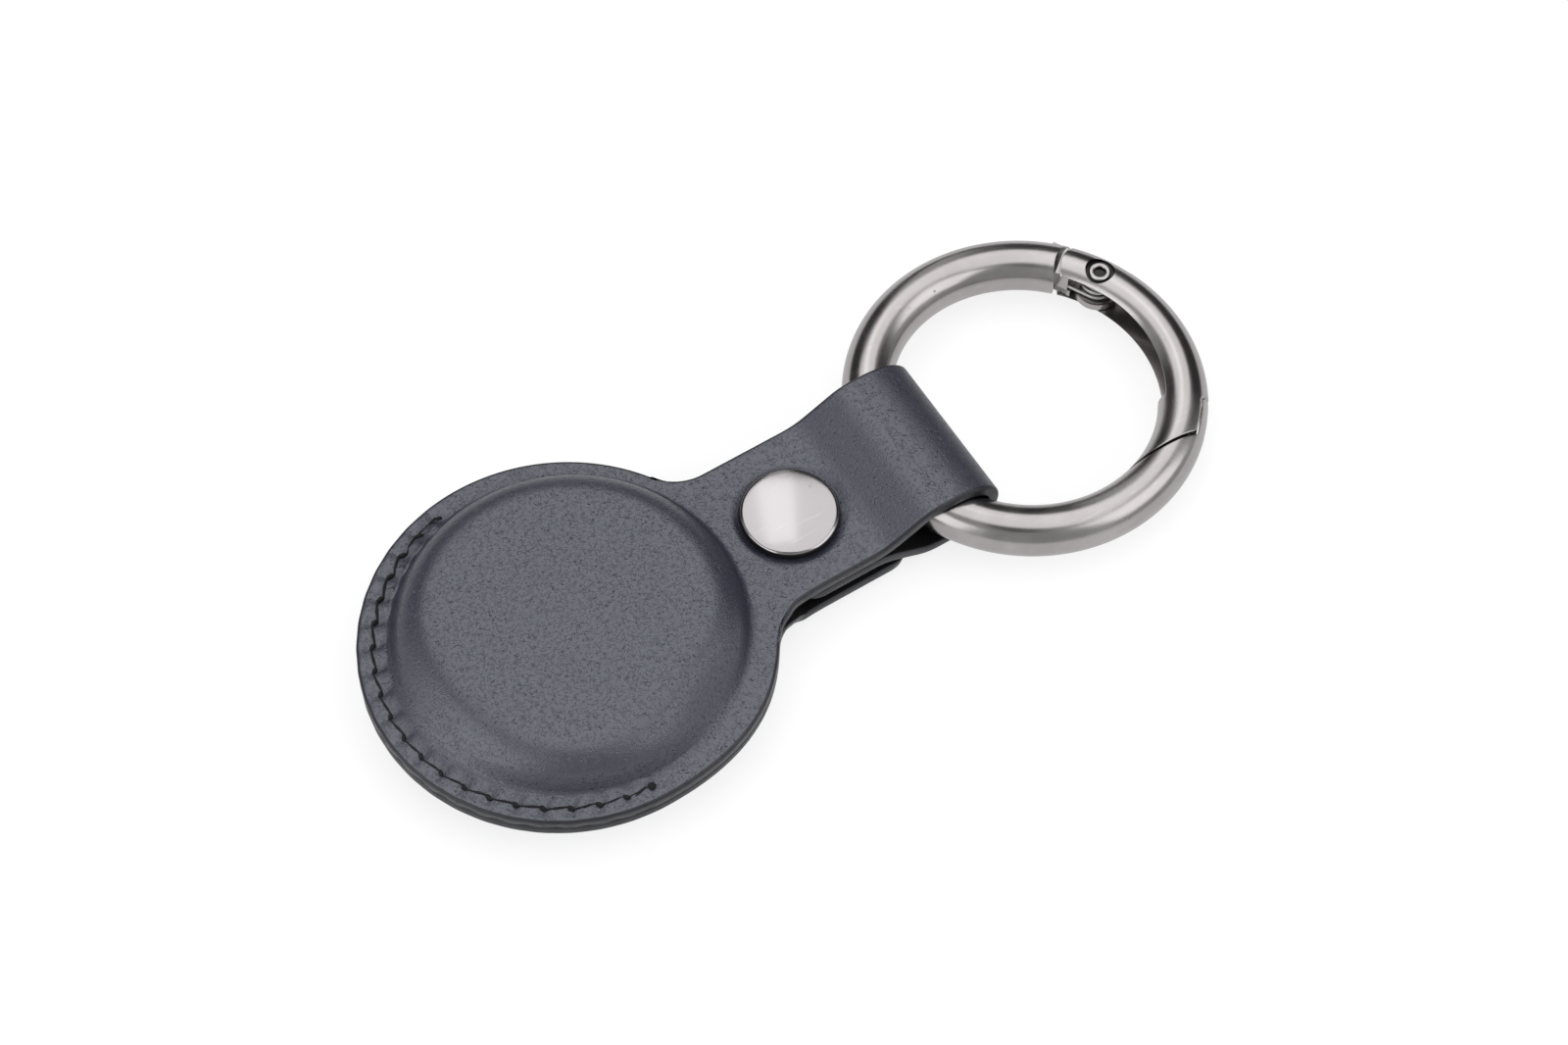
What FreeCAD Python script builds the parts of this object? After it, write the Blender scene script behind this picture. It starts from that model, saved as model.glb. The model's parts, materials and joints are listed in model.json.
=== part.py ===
import FreeCAD, Part
import math
import os

# Tag holder: a stitched leather pocket, a snap strap folded round a spring-gate ring, lying on its back.
# Millimetres. Origin on the pocket's axis at the resting plane, +X towards the ring, +Z up.

# Leather
leather_thickness = 1.25
disc_radius = 21.0
neck_half_width = 9.0
neck_blend_radius = 5.6
layer_gap = 0.15

# Pocket: the two pressed domes hold a round tag
tag_thickness = 8.0
tag_play = 0.1
front_depth_share = 0.52
dome_offset = 0.9
dome_wall_angle = math.radians(68)
dome_foot_radius_of_bend = 0.8
dome_shoulder_radius = 2.6
flap_line = -0.5

# Seam along the closed end of the disc
seam_margin = 1.7
thread_radius = 0.33
seam_to_dome = 0.05
seam_first_angle = math.radians(101)
seam_last_angle = math.radians(267)
stitch_count = 18
stitch_break = 0.22
thread_hole_play = 0.03

# Snap on the neck
cap_radius = 5.1
cap_rim_height = 0.55
cap_crown = 0.45
cap_wall = 0.3
cap_lip = 0.55
rivet_radius = 1.5
rivet_wall = 0.3
rivet_flange = 0.35
rivet_flare = 0.5
rivet_flare_height = 0.25
post_play = 0.05
socket_radius = 3.6
socket_body_radius = 2.95
socket_base = 0.35
socket_sink = 0.5
socket_drop = 1.15
socket_mouth_radius = 2.0
socket_lip = 0.2
socket_groove_radius = 2.45
socket_groove_height = 0.5
socket_room_radius = 2.25
spring_wire_radius = 0.22
spring_mean_radius = 1.9
spring_open_angle = math.radians(50)
stud_flange_radius = 4.2
stud_flange = 0.35
stud_sink = 0.3
stud_gap = 0.05
stud_neck_radius = 1.5
stud_ball_radius = 1.78
stud_height = 1.02
stud_rivet_radius = 0.85
stud_room_radius = 1.2
stud_roof = 0.3
stud_rivet_head_radius = 4.0
stud_rivet_head = 0.55
stud_rivet_sink = 0.15

# Back tongue and front tail
tongue_bend_start = 0.25
tongue_bend_run = 2.75
tongue_outer_bend = 1.8
tongue_inner_bend = 0.8
tongue_corner_radius = 4.0
tongue_clearance = 0.2
tail_to_bend = 0.58
tail_margin = 0.3
tail_corner_radius = 2.6

# Strap loop
bend_margin = 0.3
loop_stub = 1.0
loop_reach = 6.35
loop_clearance = 0.2
fold_clearance = 0.32
crease_radius = 2.5

# Ring
ring_radius = 16.78
bar_radius = 2.68
ring_lift = 1.3
gate_pin_angle = math.radians(28)
gate_free_angle = math.radians(-56)
gate_cut_angle = math.radians(-3)
gate_gap = 0.25
fork_length = 4.3
fork_gap = 0.55
channel_width = 3.4
channel_floor = 1.0
channel_end_angle = math.radians(-35)
lip_length = 2.7
lip_thickness = 0.75
lip_gap = 0.18
pin_radius = 1.0
pin_bore_radius = 0.65
pin_head_radius = 1.3
pin_head = 0.4
pin_seat_radius = 1.5
pin_seat_depth = 0.6
pin_play = 0.05
pin_fit = 0.02
eye_radius = 2.45
eye_thickness = 0.9
eye_gap = 0.15
knuckle_half_width = 1.4
knuckle_gap = 0.15
coil_wire_radius = 0.2
coil_mean_radius = 1.75
coil_turns = 2
coil_pitch = 0.87
coil_leg = 3.6
coil_touch = 0.05

# Cuts run this far past what they cut, and points closer than this are one point
overrun = 1.0
same_spot = 1e-6

# Levels, from the resting plane up
front_depth = (tag_thickness + tag_play) * front_depth_share
back_depth = tag_thickness + tag_play - front_depth
back_rim_low = back_depth
seam_level = back_rim_low + leather_thickness
front_top = seam_level + leather_thickness
tail_top = seam_level - layer_gap
tail_low = tail_top - leather_thickness
socket_low = tail_low - socket_drop
stud_top = socket_low - stud_gap
tongue_top = stud_top - stud_flange + stud_sink
tongue_low = tongue_top - leather_thickness

# Places along the holder
seam_radius = disc_radius - seam_margin
dome_edge_radius = seam_radius - thread_radius - seam_to_dome
tongue_bend_x = dome_offset + dome_edge_radius + tongue_bend_start
tail_end = tongue_bend_x + tongue_bend_run + tail_to_bend
snap_distance = tail_end + tail_margin + socket_radius
bend_line = snap_distance + cap_radius + bend_margin
pinch = bend_line + loop_stub
bar_x = pinch + loop_reach
bar_level = tail_top
ring_tilt = math.asin((bar_level - bar_radius - ring_lift) / (2 * ring_radius))
ring_centre = FreeCAD.Vector(bar_x + ring_radius * math.cos(ring_tilt), 0,
                             bar_level - ring_radius * math.sin(ring_tilt))
bar_sag = ring_radius - math.sqrt(ring_radius ** 2 - neck_half_width ** 2)
loop_rise = bar_radius + loop_clearance
loop_drop = loop_rise + bar_sag * math.sin(ring_tilt)
loop_top = bar_level + loop_rise
loop_low = bar_level - loop_drop
bar_inner_radius = ring_radius - bar_radius
fold_end = ring_centre.x + fold_clearance - math.sqrt(bar_inner_radius ** 2 - neck_half_width ** 2)

Z_AXIS = FreeCAD.Vector(0, 0, 1)
Y_AXIS = FreeCAD.Vector(0, 1, 0)


def vec(x, y, z):
    return FreeCAD.Vector(x, y, z)


def unit(pair):
    length = math.hypot(pair[0], pair[1])
    return (pair[0] / length, pair[1] / length)


def rounded_path(points, radii, offset):
    """Edges of a polyline in the XZ plane, moved to its left by the offset, its corners rounded."""
    last = len(points) - 1
    ways = []
    for a, b in zip(points, points[1:]):
        ways.append(unit((b[0] - a[0], b[1] - a[1])))
    spots = []
    for i, (x, z) in enumerate(points):
        before = ways[max(i - 1, 0)]
        after = ways[min(i, last - 1)]
        spread = 1 + before[0] * after[0] + before[1] * after[1]
        shift_x = -(before[1] + after[1]) / spread
        shift_z = (before[0] + after[0]) / spread
        spots.append((x + offset * shift_x, z + offset * shift_z))
    edges = []
    here = vec(spots[0][0], 0, spots[0][1])
    for i in range(1, last):
        before, after = ways[i - 1], ways[i]
        cross = before[0] * after[1] - before[1] * after[0]
        turn = math.atan2(abs(cross), before[0] * after[0] + before[1] * after[1])
        radius = radii[i - 1] - offset * math.copysign(1, cross)
        reach = radius * math.tan(turn / 2)
        corner = vec(spots[i][0], 0, spots[i][1])
        start = corner - vec(before[0], 0, before[1]) * reach
        end = corner + vec(after[0], 0, after[1]) * reach
        inward = vec(after[0] - before[0], 0, after[1] - before[1]).normalize()
        middle = corner + inward * radius * (1 / math.cos(turn / 2) - 1)
        edges += line(here, start)
        edges.append(Part.Arc(start, middle, end).toShape())
        here = end
    return edges + line(here, vec(spots[last][0], 0, spots[last][1]))


def line(a, b):
    """The edge from a to b, or nothing where they are one point."""
    return [] if a.isEqual(b, same_spot) else [Part.makeLine(a, b)]


def sheet_face(points, radii, thickness):
    """Section of a sheet: its face along the points, and its other face at their left."""
    near = rounded_path(points, radii, 0)
    far = rounded_path(points, radii, thickness)
    ends = []
    for i in (0, -1):
        ends.append(Part.makeLine(path_end(near, i), path_end(far, i)))
    return Part.Face(Part.Wire(Part.__sortEdges__(near + far + ends)))


def path_end(edges, i):
    return edges[i].firstVertex(True).Point if i == 0 else edges[i].lastVertex(True).Point


def revolved(pairs, x):
    """Solid of revolution about the vertical at x, from a closed list of radius and height pairs."""
    corners = [vec(x + r, 0, z) for r, z in pairs]
    face = Part.Face(Part.makePolygon(corners + corners[:1]))
    return face.revolve(vec(x, 0, 0), Z_AXIS, 360)


def rod(radius, low, high, x, y=0):
    return Part.makeCylinder(radius, high - low, vec(x, y, low))


def across(face, half_width):
    """A section in the XZ plane drawn out to both sides."""
    moved = face.copy()
    moved.translate(vec(0, -half_width, 0))
    return moved.extrude(vec(0, 2 * half_width, 0))


def between(low_x, high_x):
    """Everything from one place along the holder to another."""
    side = 2 * disc_radius
    return Part.makeBox(high_x - low_x, 2 * side, 2 * side, vec(low_x, -side, -disc_radius))


def outline_prism(half_width, end_x, corner):
    """Disc and neck seen from above, the neck ending at end_x with rounded corners, as a tall prism."""
    blend_x = math.sqrt((disc_radius + neck_blend_radius) ** 2 - (half_width + neck_blend_radius) ** 2)
    blend = vec(blend_x, half_width + neck_blend_radius, 0)
    on_disc = blend * (disc_radius / (disc_radius + neck_blend_radius))
    on_neck = vec(blend_x, half_width, 0)
    inward = (on_disc + on_neck) * 0.5 - blend
    mid_blend = blend + inward.normalize() * neck_blend_radius
    corner_share = 1 - math.sqrt(0.5)
    side_end = vec(end_x - corner, half_width, 0)
    corner_mid = vec(end_x - corner * corner_share, half_width - corner * corner_share, 0)
    tip = vec(end_x, half_width - corner, 0)

    def low(p):
        return vec(p.x, -p.y, p.z)

    edges = [Part.Arc(on_disc, vec(-disc_radius, 0, 0), low(on_disc)).toShape()]
    for flip in (lambda p: p, low):
        edges.append(Part.Arc(flip(on_disc), flip(mid_blend), flip(on_neck)).toShape())
        edges.append(Part.makeLine(flip(on_neck), flip(side_end)))
        if corner:
            edges.append(Part.Arc(flip(side_end), flip(corner_mid), flip(tip)).toShape())
    edges.append(Part.makeLine(tip, low(tip)))
    face = Part.Face(Part.Wire(Part.__sortEdges__(edges)))
    face.translate(vec(0, 0, -disc_radius))
    return face.extrude(vec(0, 0, 2 * disc_radius))


def dome(rim_level, depth, way):
    """Pressed dome with its flat foot, above the rim level for way 1 and below it for way -1."""
    foot = dome_edge_radius - dome_foot_radius_of_bend * math.tan(dome_wall_angle / 2)
    crown = foot - depth / math.tan(dome_wall_angle)
    points = [(dome_offset + dome_edge_radius, rim_level), (dome_offset + foot, rim_level),
              (dome_offset + crown, rim_level + way * depth), (dome_offset, rim_level + way * depth)]
    face = sheet_face(points, [dome_foot_radius_of_bend, dome_shoulder_radius], way * leather_thickness)
    return face.revolve(vec(dome_offset, 0, 0), Z_AXIS, 360)


def seam_angles():
    step = (seam_last_angle - seam_first_angle) / stitch_count
    return [seam_first_angle + i * step for i in range(stitch_count + 1)]


def seam_holes():
    rods = []
    for angle in seam_angles():
        x, y = seam_radius * math.cos(angle), seam_radius * math.sin(angle)
        rods.append(rod(thread_radius + thread_hole_play, back_rim_low - overrun, front_top + overrun, x, y))
    return Part.makeCompound(rods)


def thread(surface, way):
    """Stitches lying on a leather face, joined by the legs that go down to the seam plane."""
    half = Part.makeCircle(thread_radius, vec(seam_radius, 0, surface), Y_AXIS, 0, 180)
    ends = [half.firstVertex().Point, half.lastVertex().Point]
    profile = Part.Face(Part.Wire([half, Part.makeLine(ends[1], ends[0])]))
    side = profile.CenterOfMass.z - surface
    if side * way < 0:
        profile.rotate(vec(seam_radius, 0, surface), Y_AXIS, 180)
    angles = seam_angles()
    solids = []
    away = stitch_break / seam_radius
    for first, second in zip(angles, angles[1:]):
        stitch = profile.copy()
        stitch.rotate(vec(0, 0, 0), Z_AXIS, math.degrees(first + away))
        solids.append(stitch.revolve(vec(0, 0, 0), Z_AXIS, math.degrees(second - first - 2 * away)))
    for angle in angles:
        x, y = seam_radius * math.cos(angle), seam_radius * math.sin(angle)
        span = sorted((seam_level, surface + way * thread_radius / 2))
        solids.append(rod(thread_radius, span[0], span[1], x, y))
    return solids[0].fuse(solids[1:]).removeSplitter()


def front_leather():
    """Front panel: rim, dome and neck as far as the strap's bend line."""
    plate = Part.makeBox(4 * disc_radius, 4 * disc_radius, leather_thickness,
                         vec(-2 * disc_radius, -2 * disc_radius, seam_level))
    plate = plate.common(outline_prism(neck_half_width, bend_line, 0))
    plate = plate.cut(rod(dome_edge_radius, seam_level - overrun, front_top + overrun, dome_offset))
    panel = plate.fuse(dome(front_top, front_depth, 1)).removeSplitter()
    hole = rod(rivet_radius + post_play, seam_level - overrun, front_top + overrun, snap_distance)
    return panel.cut(hole).cut(seam_holes())


def loop_points():
    """Inside of the strap from the bend line over the bar, round the fold and back to the bend line."""
    def ramp(start_level, rise, way):
        run, climb = bar_x - pinch, bar_level - start_level
        lean = math.atan2(way * climb, run) + math.asin(rise / math.hypot(run, climb))
        return pinch + (way * climb + rise) / math.tan(lean)

    return [(bend_line, seam_level), (pinch, seam_level), (ramp(seam_level, loop_rise, 1), loop_top),
            (fold_end, loop_top), (fold_end, loop_low), (ramp(tail_top, loop_drop, -1), loop_low),
            (pinch, tail_top), (bend_line, tail_top)]


def strap_loop():
    fold_radius = (loop_top - loop_low) / 2
    crease = crease_radius + leather_thickness
    radii = [crease, loop_rise, fold_radius, fold_radius, loop_drop, crease]
    return across(sheet_face(loop_points(), radii, leather_thickness), neck_half_width)


def strap_tail():
    """End of the strap that lies under the neck and is held by the snap."""
    tail = Part.makeBox(bend_line - tail_end, 2 * neck_half_width, leather_thickness,
                        vec(tail_end, -neck_half_width, tail_low))
    ends = [e for e in tail.Edges if abs(e.CenterOfMass.x - tail_end) < tail_corner_radius / 2
            and abs(abs(e.CenterOfMass.y) - neck_half_width) < tail_corner_radius / 2
            and e.firstVertex().Point.z != e.lastVertex().Point.z]
    tail = tail.makeFillet(tail_corner_radius, ends)
    tail = tail.cut(rod(rivet_radius + post_play, tail_low - overrun, tail_top + overrun, snap_distance))
    seat = rod(socket_radius + post_play, tail_low - overrun, tail_low + socket_sink, snap_distance)
    return tail.cut(seat)


def tongue_end():
    """Where the tongue stops, short of the underside of the tail as it slopes down to the fold."""
    top, low = loop_points()[6], loop_points()[5]
    lean = math.atan2(top[1] - low[1], low[0] - top[0])
    under = top[1] - leather_thickness / math.cos(lean)
    return top[0] + (under - tongue_top - tongue_clearance) / math.tan(lean)


def back_leather():
    """Back panel with its dome and the tongue that dips under the snap, not yet split at the flap line."""
    points = [(-2 * disc_radius, seam_level), (tongue_bend_x, seam_level),
              (tongue_bend_x + tongue_bend_run, tongue_top), (3 * disc_radius, tongue_top)]
    radii = [tongue_outer_bend, tongue_inner_bend]
    sheet = across(sheet_face(points, radii, -leather_thickness), 2 * disc_radius)
    sheet = sheet.common(outline_prism(neck_half_width, tongue_end(), tongue_corner_radius))
    sheet = sheet.cut(rod(dome_edge_radius, back_rim_low - overrun, seam_level + overrun, dome_offset))
    sheet = sheet.fuse(dome(back_rim_low, back_depth, -1)).removeSplitter()
    hole = rod(stud_rivet_radius + post_play, tongue_low - overrun, tongue_top + overrun, snap_distance)
    top_seat = rod(stud_flange_radius + post_play, tongue_top - stud_sink, tongue_top + overrun,
                   snap_distance)
    low_seat = rod(stud_rivet_head_radius + post_play, tongue_low - overrun, tongue_low + stud_rivet_sink,
                   snap_distance)
    return sheet.cut(hole).cut(top_seat).cut(low_seat).cut(seam_holes())


def snap_cap():
    """Polished shell, rolled in under the rivet's flange."""
    rim = front_top + cap_rim_height
    top = rim + cap_crown
    crown_radius = (cap_radius ** 2 + cap_crown ** 2) / (2 * cap_crown)
    body = rod(cap_radius, front_top, rim, snap_distance)
    ball = Part.makeSphere(crown_radius, vec(snap_distance, 0, top - crown_radius))
    crown = ball.common(rod(cap_radius, rim, top + overrun, snap_distance))
    shell = body.fuse(crown).removeSplitter()
    edge = [e for e in shell.Edges if abs(e.CenterOfMass.z - rim) < cap_crown / 2 and len(e.Vertexes) == 1]
    shell = shell.makeFillet(cap_wall, edge)
    room = rod(cap_radius - cap_wall, rivet_seat(), rivet_seat() + rivet_flange, snap_distance)
    mouth = rod(cap_radius - cap_wall - cap_lip, front_top - overrun, rivet_seat(), snap_distance)
    return shell.cut(room).cut(mouth)


def rivet_seat():
    """Height of the rolled lip that carries the rivet's flange inside the cap."""
    return front_top + cap_wall / 2


def snap_cap_rivet():
    """Hollow post with its flange in the cap and its end flared over the socket's base."""
    base = tail_low + socket_sink - socket_base
    low = base - rivet_flare_height
    top = rivet_seat() + rivet_flange
    flange = cap_radius - cap_wall - post_play
    bore = rivet_radius - rivet_wall
    return revolved([(bore, low), (rivet_radius + rivet_flare, low), (rivet_radius + rivet_flare, base),
                     (rivet_radius, base), (rivet_radius, rivet_seat()), (flange, rivet_seat()),
                     (flange, top), (bore, top)], snap_distance)


def snap_socket():
    """Cup under the tail: base, groove for the spring and a mouth for the stud."""
    top = tail_low + socket_sink
    base = top - socket_base
    groove_low = socket_low + socket_lip
    groove_top = groove_low + socket_groove_height
    return revolved([(rivet_radius + post_play, top), (socket_radius, top), (socket_radius, tail_low),
                     (socket_body_radius, base), (socket_body_radius, socket_low),
                     (socket_mouth_radius, socket_low), (socket_mouth_radius, groove_low),
                     (socket_groove_radius, groove_low), (socket_groove_radius, groove_top),
                     (socket_room_radius, groove_top), (socket_room_radius, base),
                     (rivet_radius + post_play, base)], snap_distance)


def spring_level():
    return socket_low + socket_lip + socket_groove_height / 2


def snap_socket_spring():
    """Open wire ring in the socket's groove."""
    level = spring_level()
    wire = Part.makeCircle(spring_wire_radius, vec(snap_distance + spring_mean_radius, 0, level), Y_AXIS)
    face = Part.Face(Part.Wire(wire))
    face.rotate(vec(snap_distance, 0, level), Z_AXIS, math.degrees(spring_open_angle / 2))
    return face.revolve(vec(snap_distance, 0, level), Z_AXIS, 360 - math.degrees(spring_open_angle))


def stud_levels():
    seat = tongue_top - stud_sink
    top = stud_top + stud_height
    return seat, top


def snap_stud():
    """Flange on the tongue and a hollow ball that the socket's spring holds by its neck."""
    seat, top = stud_levels()
    neck_top = spring_level()
    bulge = (neck_top + top) / 2
    shoulder = (stud_neck_radius + stud_ball_radius) / 2
    inner = seat + stud_flange
    bore = stud_rivet_radius + post_play
    return revolved([(bore, seat), (stud_flange_radius, seat), (stud_flange_radius, stud_top),
                     (stud_neck_radius, stud_top), (stud_neck_radius, neck_top),
                     (stud_ball_radius, bulge), (shoulder, top), (0, top), (0, top - stud_roof),
                     (stud_room_radius, top - stud_roof), (stud_room_radius, inner), (bore, inner)],
                    snap_distance)


def snap_stud_rivet():
    """Rivet through the tongue, its end upset inside the stud."""
    seat, top = stud_levels()
    head_top = tongue_low + stud_rivet_sink
    head_low = head_top - stud_rivet_head
    upset_low = seat + stud_flange
    upset_top = (upset_low + top - stud_roof) / 2
    upset = stud_room_radius - post_play
    edge = stud_rivet_head_radius - stud_rivet_head / 2
    return revolved([(0, head_low), (edge, head_low),
                     (stud_rivet_head_radius, head_low + stud_rivet_head / 2),
                     (stud_rivet_head_radius, head_top), (stud_rivet_radius, head_top),
                     (stud_rivet_radius, upset_low), (upset, upset_low), (upset, upset_top), (0, upset_top)],
                    snap_distance)


# The ring is drawn flat about its own centre, then laid in the loop
outer_radius = ring_radius + bar_radius
pin_spot = vec(ring_radius * math.cos(gate_pin_angle), ring_radius * math.sin(gate_pin_angle), 0)
pin_out = vec(math.cos(gate_pin_angle), math.sin(gate_pin_angle), 0)
pin_back = vec(-math.sin(gate_pin_angle), math.cos(gate_pin_angle), 0)
pin_seat_level = bar_radius - pin_seat_depth
knuckle_half_height = channel_width / 2 - eye_gap


def slab(corners, half_height):
    """Prism on a flat outline, the same height above and below the ring's plane."""
    flat = [vec(p.x, p.y, -half_height) for p in corners]
    face = Part.Face(Part.makePolygon(flat + flat[:1]))
    return face.extrude(vec(0, 0, 2 * half_height))


def post(radius, half_height, spot=pin_spot):
    return Part.makeCylinder(radius, 2 * half_height, vec(spot.x, spot.y, -half_height))


def gate_zone(shift):
    """The stretch of the ring between the free end's cut, moved back by shift, and the pin."""
    along = vec(math.cos(gate_cut_angle), math.sin(gate_cut_angle), 0)
    back = vec(along.y, -along.x, 0) * shift
    middle = vec(math.cos(gate_free_angle), math.sin(gate_free_angle), 0) * ring_radius + back
    inside = middle - along * middle.x
    outside = middle + along * outer_radius
    return slab([vec(0, 0, 0), inside, outside, pin_out * (2 * outer_radius)], 2 * bar_radius)


def lip_zone(gap):
    """Outer sliver at the free end that belongs to the ring body and stops the gate."""
    cut = ring_radius * math.sin(gate_free_angle) - gate_gap - bar_radius
    tip = ring_radius * math.sin(gate_free_angle) + lip_length + gap
    outside = Part.makeBox(outer_radius, tip - cut, 2 * outer_radius, vec(0, cut, -outer_radius))
    return outside.cut(post(outer_radius - lip_thickness - gap, 2 * outer_radius, vec(0, 0, 0)))


def ring_body():
    """Bar of the ring, with the knuckle that carries the pin and the lip that stops the gate."""
    bar = Part.makeTorus(ring_radius, bar_radius)
    body = bar.cut(gate_zone(gate_gap)).cut(post(fork_length + fork_gap, 2 * bar_radius))
    lip = bar.common(lip_zone(0))
    eye = Part.makeCylinder(eye_radius, eye_thickness, pin_spot - Z_AXIS * knuckle_half_height)
    root_end = fork_length + fork_gap + bar_radius / 2
    side = pin_out * knuckle_half_width
    root = slab([pin_spot + side, pin_spot - side, pin_spot - side + pin_back * root_end,
                 pin_spot + side + pin_back * root_end], knuckle_half_height)
    clear_coil = Part.makeCylinder(eye_radius + knuckle_gap, channel_width,
                                   pin_spot + Z_AXIS * (eye_thickness - knuckle_half_height))
    root = root.cut(clear_coil)
    body = body.fuse([lip, eye, root]).removeSplitter()
    return body.cut(post(pin_radius + pin_play, 2 * bar_radius))


def ring_gate():
    """Hinged arm: a channel open to the ring's centre, forked round the knuckle."""
    bar = Part.makeTorus(ring_radius, bar_radius)
    gate = bar.common(gate_zone(0).fuse(post(fork_length, 2 * bar_radius)))
    gate = gate.cut(lip_zone(lip_gap))
    reach = 2 * outer_radius
    end_way = vec(math.cos(channel_end_angle), math.sin(channel_end_angle), 0)
    wedge = slab([vec(0, 0, 0), end_way * reach, (end_way + pin_back) * reach, pin_back * reach],
                 channel_width / 2)
    channel = post(ring_radius + channel_floor, channel_width / 2, vec(0, 0, 0)).common(wedge)
    side = pin_out * outer_radius
    fork = slab([pin_spot + side, pin_spot - side, pin_spot - side + pin_back * outer_radius,
                 pin_spot + side + pin_back * outer_radius], channel_width / 2)
    turn_room = post(eye_radius + knuckle_gap, channel_width / 2)
    gate = gate.cut(channel).cut(fork).cut(turn_room)
    for way in (1, -1):
        low = pin_spot + Z_AXIS * way * pin_seat_level
        gate = gate.cut(Part.makeCylinder(pin_seat_radius, bar_radius, low, Z_AXIS * way))
    return gate.cut(post(pin_radius + pin_fit, 2 * bar_radius))


def gate_pin():
    """Hollow rivet with a rolled head in each cheek of the fork."""
    pin = post(pin_radius, pin_seat_level + pin_head)
    for way in (1, -1):
        low = pin_spot + Z_AXIS * way * pin_seat_level
        head = Part.makeCylinder(pin_head_radius, pin_head, low, Z_AXIS * way)
        rim = [e for e in head.Edges if isinstance(e.Curve, Part.Circle)
               and abs(e.CenterOfMass.z) > pin_seat_level + pin_head / 2]
        pin = pin.fuse(head.makeFillet(pin_head / 2, rim))
    return pin.removeSplitter().cut(post(pin_bore_radius, 2 * bar_radius))


def biarc(start, start_way, end, end_way):
    """Two arcs that leave start and reach end along the given ways."""
    span = end - start
    ways = start_way + end_way
    a = 2 * (1 - start_way.dot(end_way))
    b = 2 * span.dot(ways)
    reach = (math.sqrt(b * b + 4 * a * span.dot(span)) - b) / (2 * a)
    joint = (start + end + (start_way - end_way) * reach) * 0.5
    arcs = []
    for p, q, corner in ((start, joint, start + start_way * reach), (joint, end, end - end_way * reach)):
        chord = q - p
        middle = (p + q) * 0.5
        up = corner - middle
        half = math.atan2(up.Length, chord.Length / 2)
        top = middle + up.normalize() * (chord.Length / 2 * math.tan(half / 2))
        arcs.append(Part.Arc(p, top, q).toShape())
    return arcs


def gate_spring():
    """Torsion spring on the pin: one leg on the knuckle, two turns, one leg on the channel's floor."""
    low = eye_thickness - knuckle_half_height + coil_wire_radius + knuckle_gap
    quarters = 4 * coil_turns
    slope = coil_pitch / (2 * math.pi * coil_mean_radius)

    def on_coil(i):
        angle = gate_pin_angle + math.pi + i * math.pi / 2
        climb = slope if 0 < i < quarters else 0
        round_way = vec(-math.sin(angle), math.cos(angle), climb).normalize()
        spot = pin_spot + vec(math.cos(angle), math.sin(angle), 0) * coil_mean_radius
        return spot + Z_AXIS * (low + i * coil_pitch / 4), round_way

    first, first_way = on_coil(0)
    last, last_way = on_coil(quarters)
    edges = [Part.makeLine(first - first_way * coil_leg, first)]
    for i in range(quarters):
        here, way = on_coil(i)
        there, next_way = on_coil(i + 1)
        edges += biarc(here, way, there, next_way)
    floor = ring_radius + channel_floor - coil_wire_radius - coil_touch
    leg = math.sqrt(floor ** 2 - (ring_radius - coil_mean_radius) ** 2)
    edges.append(Part.makeLine(last, last + last_way * leg))
    path = Part.Wire(edges)
    start = first - first_way * coil_leg
    section = Part.Wire(Part.makeCircle(coil_wire_radius, start, first_way))
    print("gate spring least gap between turns", round(spring_gap(path), 3))
    return path.makePipeShell([section], True, False)


def spring_gap(path):
    """Least distance between wire surfaces more than half a turn apart, on points of the centre line."""
    point_count = 240
    points = path.discretize(point_count)
    apart = int(len(points) * math.pi * coil_mean_radius / path.Length) + 1
    least = path.Length
    for i, p in enumerate(points):
        for q in points[i + apart:]:
            least = min(least, (p - q).Length)
    return least - 2 * coil_wire_radius


def laid(shape):
    """A ring piece placed in the strap's loop, its far side resting on the table."""
    turn = FreeCAD.Rotation(Y_AXIS, math.degrees(ring_tilt))
    shape.Placement = FreeCAD.Placement(ring_centre, turn).multiply(shape.Placement)
    return shape


def main():
    os.makedirs("parts", exist_ok=True)
    back = back_leather()
    pieces = {
        "front_panel": front_leather(),
        "strap_loop": strap_loop(),
        "strap_tail": strap_tail(),
        "back_panel": back.common(between(-2 * disc_radius, flap_line)),
        "back_flap": back.common(between(flap_line, 3 * disc_radius)),
        "needle_thread": thread(front_top, 1),
        "bobbin_thread": thread(back_rim_low, -1),
        "snap_cap": snap_cap(),
        "snap_cap_rivet": snap_cap_rivet(),
        "snap_socket": snap_socket(),
        "snap_socket_spring": snap_socket_spring(),
        "snap_stud": snap_stud(),
        "snap_stud_rivet": snap_stud_rivet(),
        "ring_body": laid(ring_body()),
        "ring_gate": laid(ring_gate()),
        "gate_pin": laid(gate_pin()),
        "gate_spring": laid(gate_spring()),
    }
    for name, shape in pieces.items():
        box = shape.BoundBox
        print(name, shape.ShapeType, len(shape.Solids), shape.isValid(), round(shape.Volume, 2),
              [round(v, 2) for v in (box.XMin, box.XMax, box.YMin, box.YMax, box.ZMin, box.ZMax)])
        shape.exportStep("parts/" + name + ".step")
    pivot = ring_centre + FreeCAD.Rotation(Y_AXIS, math.degrees(ring_tilt)).multVec(pin_spot)
    print("ring centre", [round(v, 4) for v in ring_centre], "tilt", round(math.degrees(ring_tilt), 4))
    print("gate pivot", [round(v, 4) for v in pivot])
    print("bend line", round(bend_line, 4), "front top", round(front_top, 4))
    print("seam level", round(seam_level, 4), "snap", round(snap_distance, 4))
    print("tongue end", round(tongue_end(), 3), "fold end", round(fold_end + leather_thickness, 3))


main()
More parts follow.
